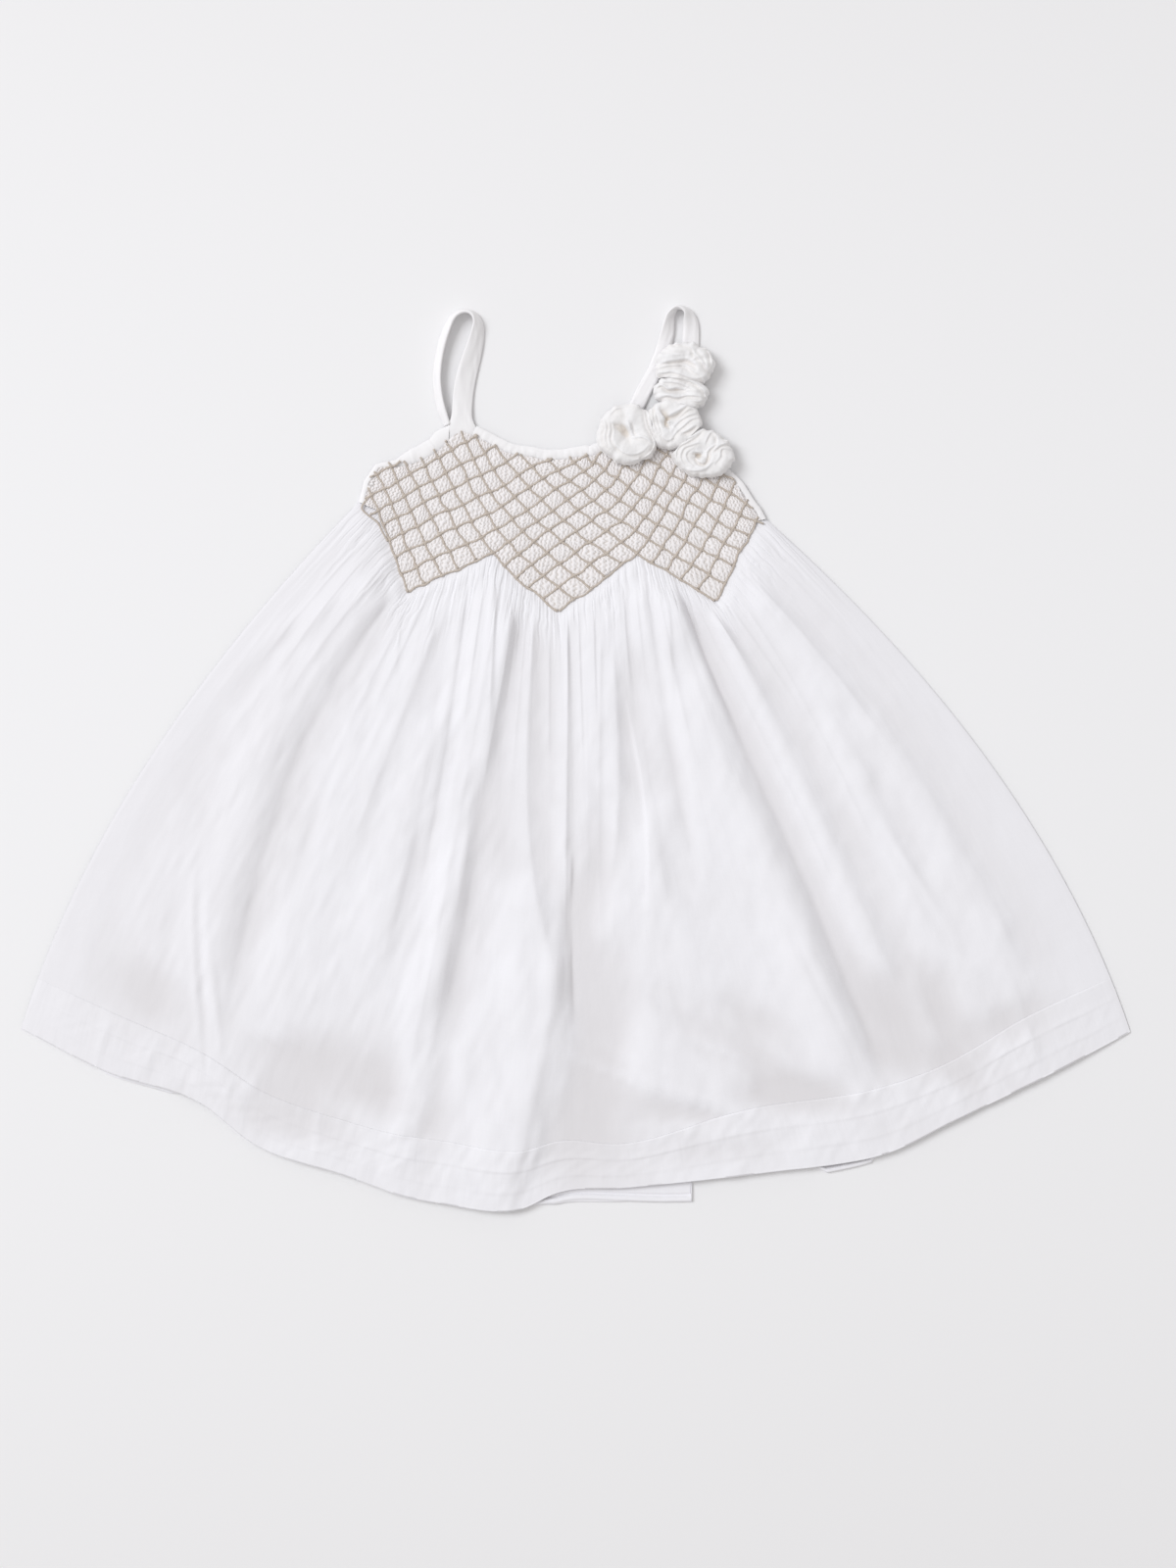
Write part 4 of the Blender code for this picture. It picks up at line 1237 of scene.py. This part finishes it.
RIGHT_STRAP = table("""
54.5 170.6 11.0   0 1.8
57.0 181.0  9.5   0 0.6
58.6 194.0  9.0   0 0.0
60.0 207.0  9.0   2 0.0
60.8 220.0  9.0   3 0.0
61.0 230.0  8.5  20 0.0
59.0 236.4  8.0  60 0.0
54.0 238.2  8.0  90 0.0
50.4 234.0  8.0 120 0.0
49.0 227.0  8.0 146 0.0
46.6 217.0  8.0 170 0.0
42.0 205.0  8.0 177 0.0
36.0 194.0  8.0 178 0.0
31.4 184.0  8.0 178 0.0
""")
STRAP_RINGS = 190
STRAP_SIDES = 40


def staged(rows, at):
    """The values of rows with no column of places: stage 0 is the first row, stage 1 the next."""
    return smooth(np.column_stack([np.arange(len(rows)), rows]), at)


def squarish(value, curve):
    """A sine or cosine bent so that a circle becomes a rounded box."""
    return math.copysign(abs(value) ** curve, value)


def strap(name, node, turns, seed):
    """A flat tube along a table of turns."""
    at = np.linspace(0, len(turns) - 1, STRAP_RINGS)
    x, y, width, roll, lift = staged(turns, at).T
    ahead = staged(turns, at + 0.05)[:, :2] - staged(turns, at - 0.05)[:, :2]
    level = np.column_stack([-leftward(ahead), np.zeros(STRAP_RINGS)])
    ahead = np.column_stack([unit(ahead), np.zeros(STRAP_RINGS)])
    angle = np.radians(roll)[:, None]
    across = level * np.cos(angle) - np.array([0, 0, 1]) * np.sin(angle)
    face = np.cross(across, ahead)
    thick = STRAP_CLOTH * (1 + 0.1 * wander(at, seed, 0.7))
    middle = lift + (abs(np.sin(angle[:, 0])) * width + abs(np.cos(angle[:, 0])) * STRAP_CLOTH) / 2
    centre = np.column_stack([x, y, middle])
    rings = []
    for side in np.arange(STRAP_SIDES) * math.tau / STRAP_SIDES:
        out = squarish(math.cos(side), 0.7)
        up = squarish(math.sin(side), 0.8)
        crease = 0.28 * ripple(at, out * 6, seed + 1, 1.3, 1.5)
        crease = crease + 0.2 * ripple(at + out * 1.5, up * 3, seed + 2, 0.45, 2.0)
        crease = crease + 0.45 * (ridge(out * 3.2 + 0.3) - 0.5) * ease(1.2 - at / 4.5)
        raised = up * (thick / 2 + crease * abs(up))
        rings.append(centre + across * (out * width / 2)[:, None] + face * raised[:, None])
    points = np.stack(rings, axis=1)
    points[..., 2] = np.maximum(points[..., 2], 0.05)
    return cloth(name, points, edge_cotton, "strap_cotton", node, closed=True, caps=True)


left_strap = report(strap("left_strap", "strap_left", LEFT_STRAP, 61))
right_strap = report(strap("right_strap", "strap_right", RIGHT_STRAP, 65))

# %% [markdown]
# The rosettes are small gathered circles of the same cotton, each drawn up round an eye until its edge
# stands in ruffles. They crowd each other, so each is pressed flat where it meets its neighbour. A surface
# of rings from the eye to the rim gives the ruffles, and a few creases of its own, listed for each, are
# then pressed in, because no two of them are alike.

# %% The rosettes
# Each rosette's x and y, half width and half length, turn in degrees, the height of its base, its own
# height, and its eye's x and y from its middle. All but the turn are in mm.
ROSETTES = {
    "rosette_neck": (28.0, 170.6, 16.4, 15.4, 10, 5.1, 7.2, -2.5, 1.0),
    "rosette_corner": (51.6, 175.8, 15.2, 13.2, 0, 5.1, 7.6, -3.5, 1.5),
    "rosette_armhole": (67.0, 160.6, 16.2, 12.0, -12, 5.1, 7.0, -2.0, -2.0),
    "rosette_strap_low": (55.8, 193.0, 14.4, 9.2, -8, 3.0, 8.4, 0.0, 1.0),
    "rosette_strap_high": (57.6, 207.6, 15.7, 11.8, 0, 3.2, 9.2, 6.0, 0.0),
}
# From a rosette's middle over its crown to its flat underside: reach and height as shares of its own.
ROSETTE_RINGS = table("""
0.00 0.66
0.14 0.74
0.30 0.90
0.46 0.99
0.64 1.00
0.80 0.95
0.91 0.84
0.97 0.66
1.00 0.44
1.00 0.20
0.94 0.00
0.00 0.00
""")
# Each rosette's own creases: a crease's width and height in mm, then the x and y from the rosette's middle
# of the points that it runs through.
ROSETTE_CREASES = {
    "rosette_neck": """
1.2 -2.6 -4.5 4.5 -1.8 1.8 0.5 -2.1
2.2 -1.2 -3.8 9.7 -3.1 5.8 -1.8 2.6
0.8 -1.2 -8.0 4.6 -4.3 3.2
0.8 1.3 -1.0 6.1 0.8 2.6 1.8 -1.2
0.6 -1 1.6 5.2 2.9 0.6 4.7 -2.1
0.5 -1.6 8.1 16.2 8.9 11.7 10.0 6.1 11.5 1.6 14.1 -2.1 15.5 -5.2 14.3 -8.8 11.2 -12.6
0.45 -1.1 7.3 13.0 7.9 7.8 9.3 2.6 12.0 -2.5 13.0 -5.6 11.2 -9.5 7.3 -12.1 2.8 -13.0
0.5 -1.2 -14.0 6.1 -13.1 2.6 -13.8 -1.5 -13.0 -5.9 -10.4 -9.0
0.5 -1.2 -11.8 6.5 -10.9 2.6 -11.6 -2.0 -10.8 -6.5 -8.0 -9.8
0.5 -1.1 -9.5 5.0 -8.8 1.3 -9.2 -3.3 -7.3 -7.2 -4.3 -10.7
0.5 -0.9 -6.5 -7.8 -2.4 -11.2 2.2 -12.0 7.3 -10.4 10.7 -7.2
0.6 -0.9 1.3 -3.5 6.0 -2.9 9.3 -4.3 11.7 -6.2
0.5 0.8 1.4 -2.0 6.0 -1.5 9.9 -2.6
0.6 -0.8 -8.3 12.6 -4.3 15.2 0.3 15.3 4.7 13.0
0.5 -0.8 -9.1 9.7 -6.2 12.2 -1.8 13.0
""",
    "rosette_corner": """
0.8 -2.6 -3.2 2.6 -5.4 5.1 -6.7 7.2
0.8 -2.4 -3.2 2.6 0.1 3.9 3.9 5.9 7.6 8.5
0.9 -2.8 -3.2 3.0 -4.2 0.4 -2.8 -1.9
0.7 1.1 -6.8 4.7 -5.4 2.4 -5.1 -1.8 -2.4 -3.7 0.1 -2.4 -0.9 1.5
0.45 -1.2 -13.8 12.5 -12.9 8.0 -12.0 1.5 -10.7 -3.4 -8.0 -8.3
0.45 -1.2 -12.1 13.2 -10.2 9.1 -10.6 4.1 -9.4 -1.1 -8.1 -5.2
0.45 -1 -10.2 8.0 -9.0 4.1 -7.4 -1.8 -6.0 -5.7
0.5 -0.9 -7.8 -5.7 -5.4 -8.7 -2.9 -9.9 0 -8.4
0.5 -1.2 -0.3 -8.8 1.9 -5.2 5.7 -1.9 9.6 1.3 14.7 2.6
0.6 -2 4.9 -5.7 7.9 -4.5 11.9 -2.0
0.5 -1 0.7 -2.4 3.6 0.7 8.2 3.3 12.7 4.7
0.6 -0.9 3.6 2.8 7.5 5.9 11.4 7.2
""",
    "rosette_armhole": """
0.9 -3.6 -4.2 -1.0 -0.3 -1.5
0.5 -1.1 -14.7 -7.4 -15.6 -2.8 -14.6 2.4 -11.0 5.5 -5.2 7.6 0 11.5
0.5 -1.2 -12.1 -7.3 -13.4 -2.2 -12.3 2.0 -8.5 4.3 -3.3 7.6 1.9 12.8
0.5 -1.1 -8.5 -7.5 -11.0 -2.8 -9.7 1.4 -5.8 3.1 -2.0 4.3
0.5 -1 -4.1 -7.3 -7.2 -4.4 -8.1 -1.0 -5.2 1.4
0.6 -1.7 -4.5 -3.4 -2.0 -6.0 1.0 -6.3 2.8 -3.1 3.5 0.4 6.8 3.0
0.8 1.3 -0.3 -0.2 0.3 -2.8 -1.0 -4.3
0.6 1 -5.5 -4.1 -2.6 -7.5 1.6 -7.5 4.5 -3.5 4.9 -0.2
0.5 -1.2 5.2 9.5 7.1 6.9 6.6 3.7
0.5 -1.3 5.8 -0.2 9.8 3.0 13.6 3.7
0.5 -1 8.4 11.5 10.5 8.7 11.7 6.3 14.9 4.3
0.5 -1 7.1 -6.1 9.7 -2.8 10.4 1.1 14.2 0.7
0.5 -1 -14.2 -7.7 -9.7 -9.9 -3.9 -10.6 1.2 -9.7 5.3 -6.2
0.5 -0.9 1.9 4.3 3.2 7.6 5.2 10.8
""",
    "rosette_strap_low": """
0.5 -2 -12.3 1.5 -10.4 2.1 -7.1 0.2 -2.6 1.0 2.1 0.1
0.5 -1.5 -4.0 6.5 1.2 5.3 6.5 3.4 11.0 -0.5 12.2 -3.3
0.5 -1.6 -13.1 -4.8 -7.9 -3.4 -2.6 -4.3 2.9 -3.1 9.1 -3.5
0.5 -0.9 -9.1 -7.4 -5.2 -8.5 0 -7.3
0.5 0.8 -13.1 -1.8 -7.9 -1.7 -2.6 -1.8 2.6 -1.3
0.45 -1 -10.5 4.0 -5.3 4.0 -0.1 3.0 6.4 0.1
0.45 -0.9 5.8 -5.7 9.0 -6.4 11.6 -5.1
""",
    "rosette_strap_high": """
0.5 -1.1 -11.3 7.7 -8.2 9.2 -4.2 9.4 0.2 8.9
0.6 -1.8 -15.0 -1.5 -9.4 -0.3 -4.2 0.6 0.4 1.4 4.1 -0.7 5.6 -3.2
0.5 -1.1 -15.5 -4.0 -10.7 -2.7 -5.5 -1.9 -0.3 -2.0 4.1 -5.1 7.5 -7.2
0.5 -1.2 -16.3 -5.9 -12.0 -6.0 -6.8 -5.5 -1.6 -7.1 4.9 -9.2 8.7 -8.5
0.6 0.7 -12.4 4.0 -6.9 4.2 -1.4 4.2
0.5 -1 5.2 9.7 9.4 8.4 12.5 4.6 13.3 -0.1 14.2 -2.8
0.5 -1.1 3.9 4.5 7.4 1.2 10.0 -2.5 12.7 -5.3 15.2 -7.7
0.5 -1 0.9 8.5 3.5 6.6 4.3 3.3
0.6 -1.4 8.6 -8.5 9.4 -11.6 11.4 -11.1
0.5 -0.9 6.1 6.6 9.4 2.7 10.8 -1.2
""",
}
ROSETTE_STAGES = 84
ROSETTE_SIDES = 240
OVERLAPPED = 0.3
# Painted shade on the rosettes: round the eye, within a radius in mm, and in the creases.
EYE_RADIUS = 4.0
EYE_SHADE = 0.3
CREASE_SHADE = 6.5
CREASE_DEPTH = 0.7
LIP = 0.4


def pressed(name):
    """The upright planes where a rosette meets its neighbours: each one's direction and distance."""
    x, y, half_width, half_length = ROSETTES[name][:4]
    planes = []
    for other, row in ROSETTES.items():
        apart = np.array([row[0] - x, row[1] - y])
        distance = np.hypot(*apart)
        if other == name or distance > half_width + row[2]:
            continue
        towards = apart / distance
        own = math.hypot(half_width * towards[0], half_length * towards[1])
        others = math.hypot(row[2] * towards[0], row[3] * towards[1])
        planes.append((towards, distance * own / (own + others) + OVERLAPPED))
    return planes


def crease_height(x, y, text):
    """The height in mm of the listed creases: each has a lip on its left and a slope on its right."""
    total = np.zeros_like(x)
    for line in text.strip().splitlines():
        width, height, *course = [float(word) for word in line.split()]
        course = np.reshape(course, (-1, 2))
        at = np.linspace(0, len(course) - 1, 11 * len(course))
        spots = staged(course, at)
        fade = np.sin(math.pi * (0.05 + 0.9 * at / at[-1])) ** 0.5
        ahead = unit(np.gradient(spots, axis=0))
        off_x = x[..., None] - spots[:, 0]
        off_y = y[..., None] - spots[:, 1]
        nearest = np.argmin(off_x**2 + off_y**2, axis=-1)[..., None]
        away = np.take_along_axis(np.hypot(off_x, off_y), nearest, -1)[..., 0]
        aside = np.take_along_axis(off_y * ahead[:, 0] - off_x * ahead[:, 1], nearest, -1)[..., 0]
        left = 0.5 + 0.5 * np.tanh(aside / width)
        dip = bell(away / (width * (2.6 - 1.6 * left)))
        lip = left * bell((away - 1.9 * width) / (1.5 * width))
        total = total + CREASE_DEPTH * height * fade[nearest[..., 0]] * (dip - LIP * lip)
    return total


def rosette(name, seed):
    """Rings from the middle over the crown and the rim to the underside, ruffled, pressed and creased."""
    x, y, half_width, half_length, turn, base, height, eye_x, eye_y = ROSETTES[name]
    stage = np.linspace(0, len(ROSETTE_RINGS) - 1, ROSETTE_STAGES)
    reach, rise = staged(ROSETTE_RINGS, stage).T[..., None]
    around = np.linspace(0, math.tau, ROSETTE_SIDES + 1)[None, :-1]
    loop_x, loop_y = np.cos(around), np.sin(around)
    lobes = 0.8 * ripple(loop_x * 3, loop_y * 3, seed, 1.0, 1.0)
    ruffles = 0.7 * ripple(loop_x * 7, loop_y * 7, seed + 1, 1.0, 1.0) + lobes * 0.7
    waves = ease((reach - 0.45) / 0.5) * ruffles
    away_x = loop_x * (half_width * reach + waves)
    away_y = loop_y * (half_length * reach + waves)
    plan_x, plan_y = turned(away_x, away_y, turn)
    for towards, limit in pressed(name):
        past = np.maximum(0, plan_x * towards[0] + plan_y * towards[1] - limit)
        plan_x = plan_x - towards[0] * past
        plan_y = plan_y - towards[1] * past
    top = ease((9.5 - stage[:, None]) / 1.5)
    creases = crease_height(plan_x, plan_y, ROSETTE_CREASES[name]) * top
    soft = 0.45 * ripple(plan_x, plan_y, seed + 2, 3.6, 3.6) + lobes * reach
    fine = 0.1 * ripple(plan_x, plan_y, seed + 3, 1.1, 1.1)
    z = rise * height + (soft + fine) * top + creases
    points = np.dstack([x + plan_x, y + plan_y, base + np.maximum(z, 0)])
    # Painted shade: a little all over, more in the creases, and round the eye where the creases are deep.
    eye = bell(np.hypot(plan_x - eye_x, plan_y - eye_y) / EYE_RADIUS)
    painted_shade = 0.05 - creases / CREASE_SHADE + EYE_SHADE * eye * (creases < -1)
    looks = rosette_cotton, "rosette_cotton"
    return cloth(name + "_cloth", points, *looks, name, closed=True, painted_shade=painted_shade)


rosettes = [report(rosette(name, 70 + 3 * place)) for place, name in enumerate(ROSETTES)]

# %% [markdown]
# The beige thread is what the eye finds first. It is real geometry, a thin tube of thread along every
# diagonal of the lattice, and it swells with each stitch and dips a little between two pleats. A painted
# line would have no shade under it and would vanish at a slant. Thread lines cross at every second gather.

# %% The smocking thread's lines
THREAD_RADIUS = 0.6
THREAD_SIDES = 6
THREAD_STEP = 0.09
LOW_STITCH = 0.35
THREAD_SWAY = 0.28
THREAD_BOW = 0.6
LAST_LINE = 33
FEWEST_POINTS = 6
THREAD_HEIGHT = FRONT_REST + YOKE_CLOTH + 0.5 * PLEAT_HEIGHT - 0.15
CROSSING_RISE = 0.25
BINDING_RISE = 0.9
# A strand that runs beside the others at the left edge: x and y in mm.
LEFT_STRAND = table("""
-107.9 139.9
-112.1 134.7
-113.1 131.6
-110.0 128.4
-104.8 124.3
-102.4 119.5
 -99.5 114.5
""")


def thread_lines():
    """The two families of diagonals as lists of (number, step), cut off at the smocking's edges."""
    lines = []
    for family in (1, -1):
        for odd in range(-LAST_LINE, LAST_LINE + 1, 2):
            numbers = np.arange(LEFT_END, RIGHT_END + 1e-6, THREAD_STEP)
            steps = family * (odd - numbers)
            beyond = np.where((numbers < -11) | (numbers > 12), 0.5, 0.2)
            inside = (steps >= top_step(numbers) - beyond) & (steps <= exact_lower(numbers) + 1e-3)
            ends = np.flatnonzero(np.diff(inside.astype(int))) + 1
            for run in np.split(np.arange(len(numbers)), ends):
                if inside[run[0]] and len(run) > FEWEST_POINTS:
                    lines.append((numbers[run], steps[run], family))
    return lines


def exact_lower(number):
    """The step of the lower zigzag, without its rounded notches."""
    return np.where(abs(number) > LAST_COLUMN, CORNER_STEP + 0.6, 1 - from_point(number))


def tube(path, radius):
    """The points of a tube: path is rows of x, y, z in mm and radius one number for each."""
    ahead = unit(np.gradient(path, axis=0))
    level = np.column_stack([-leftward(ahead), np.zeros(len(path))])
    up = np.cross(level, ahead)
    rings = []
    for angle in np.arange(THREAD_SIDES) * math.tau / THREAD_SIDES:
        rings.append(path + (level * math.cos(angle) + up * math.sin(angle)) * radius[:, None])
    return np.stack(rings, axis=1)


def embroidered(name, tubes):
    """One piece from many tubes, each closed at both ends."""
    faces = []
    flat = []
    start = 0
    for points in tubes:
        faces += grid_faces(numbered(points, start), closed=True, caps=True)
        start += points[..., 0].size
        along = travelled(np.linalg.norm(np.diff(points.mean(axis=1), axis=0), axis=1))
        around = np.arange(THREAD_SIDES) / THREAD_SIDES
        flat.append(np.stack(np.meshgrid(around, along)[::-1], axis=-1).reshape(-1, 2))
    return sewn(name, np.concatenate(tubes), faces, np.concatenate(flat), beige_thread)


def stitched(number, step, family):
    """One diagonal's tube, which swells at each stitch and goes over the other family's threads."""
    place = smocked(number, step)
    seed = int(abs(number[0] * 10)) + (500 if family > 0 else 0)
    bow = abs(np.sin(math.pi * number)) * wander(number, seed + 1, 0.8)
    aside = THREAD_SWAY * wander(number, seed, 0.35) + THREAD_BOW * bow
    place = place + leftward(np.gradient(place, axis=0)) * aside[:, None]
    stitch = abs(np.sin(math.pi * PLEATS * number))
    crossing = bell((number - np.round(number)) / 0.12)
    on_binding = ease((top_step(number) - step + 0.1) / 0.25)
    height = THREAD_HEIGHT + LOW_STITCH * (stitch - 0.5) + CROSSING_RISE * crossing * (family > 0)
    height = height + on_binding * BINDING_RISE
    rough = 0.12 * wander(number, seed + 2, 0.13)
    radius = THREAD_RADIUS * (0.78 + 0.22 * stitch + 0.4 * crossing + rough)
    return tube(np.column_stack([place, height]), radius)


def strand():
    at = np.linspace(0, len(LEFT_STRAND) - 1, 12 * len(LEFT_STRAND))
    height = np.full(len(at), THREAD_HEIGHT + 0.2)
    radius = THREAD_RADIUS * (0.85 + 0.2 * wander(at, 33, 0.3))
    return tube(np.column_stack([staged(LEFT_STRAND, at), height]), radius)


lines = thread_lines()
thread = report(embroidered("smocking_thread", [stitched(*line) for line in lines] + [strand()]))
print("thread lines:", len(lines))

# %% [markdown]
# The skirt is flared, 450 mm wide at the smocking and 660 mm at the hem.

# %% [markdown]
# The dress lies on a very pale floor, faintly mottled, and is seen from straight above. The floor's colour
# is painted darker towards its top and bottom ends, as shade. The light is soft all round, and a little
# stronger from the upper left, so each fold has one brighter and one darker side.

# %% Floor, light and camera
FLOOR = (0.885, 0.88, 0.886)
FLOOR_END = (0.835, 0.826, 0.828)
FLOOR_HALF = 4.0
FLOOR_Z = -5e-5


def floor():
    mesh = bpy.data.meshes.new("floor")
    corners = [(-FLOOR_HALF, -FLOOR_HALF), (FLOOR_HALF, -FLOOR_HALF)]
    corners += [(FLOOR_HALF, FLOOR_HALF), (-FLOOR_HALF, FLOOR_HALF)]
    mesh.from_pydata([(x, y, FLOOR_Z) for x, y in corners], [], [(0, 1, 2, 3)])
    finish = Finish("floor_paper", Roughness=0.9)
    place = finish.node("ShaderNodeTexCoord", output="Object")
    clouds = finish.node("ShaderNodeTexNoise", None, {"Vector": place, "Scale": 1.6, "Detail": 3.0})
    # Painted shade: the floor darkens towards its top and bottom ends, with a little mottling.
    away = finish.parts(place)[1] * 2.1
    shade = away * away + clouds * 0.2
    mesh.materials.append(finish.show(Base_Color=finish.mix(shade, FLOOR, FLOOR_END)))
    made = bpy.data.objects.new("floor", mesh)
    bpy.context.scene.collection.objects.link(made)


def area_light(name, place, target, size, power):
    light = bpy.data.lights.new(name, "AREA")
    light.shape = "SQUARE"
    light.size = size
    light.energy = power
    light.color = (0.94, 0.965, 1.0)
    made = bpy.data.objects.new(name, light)
    made.location = place
    made.rotation_euler = (Vector(target) - Vector(place)).to_track_quat("-Z", "Y").to_euler()
    bpy.context.scene.collection.objects.link(made)


def world(strength, colour):
    made = bpy.data.worlds.new("soft_studio")
    made.use_nodes = True
    made.node_tree.nodes["Background"].inputs["Color"].default_value = (*colour, 1)
    made.node_tree.nodes["Background"].inputs["Strength"].default_value = strength
    bpy.context.scene.world = made


floor()
area_light("key", place=(-3.3, 1.9, 4.6), target=(0, 0, 0), size=2.6, power=190)
world(strength=0.61, colour=(1.0, 0.985, 0.98))
lens = bpy.data.cameras.new("camera")
lens.lens = 60
lens.sensor_width = 36
camera = bpy.data.objects.new("camera", lens)
camera.location = (0.0065, -0.014, 1.387)
bpy.context.scene.collection.objects.link(camera)
bpy.context.scene.camera = camera
bpy.context.scene.view_settings.view_transform = "Standard"
print("camera height in m:", camera.location.z)
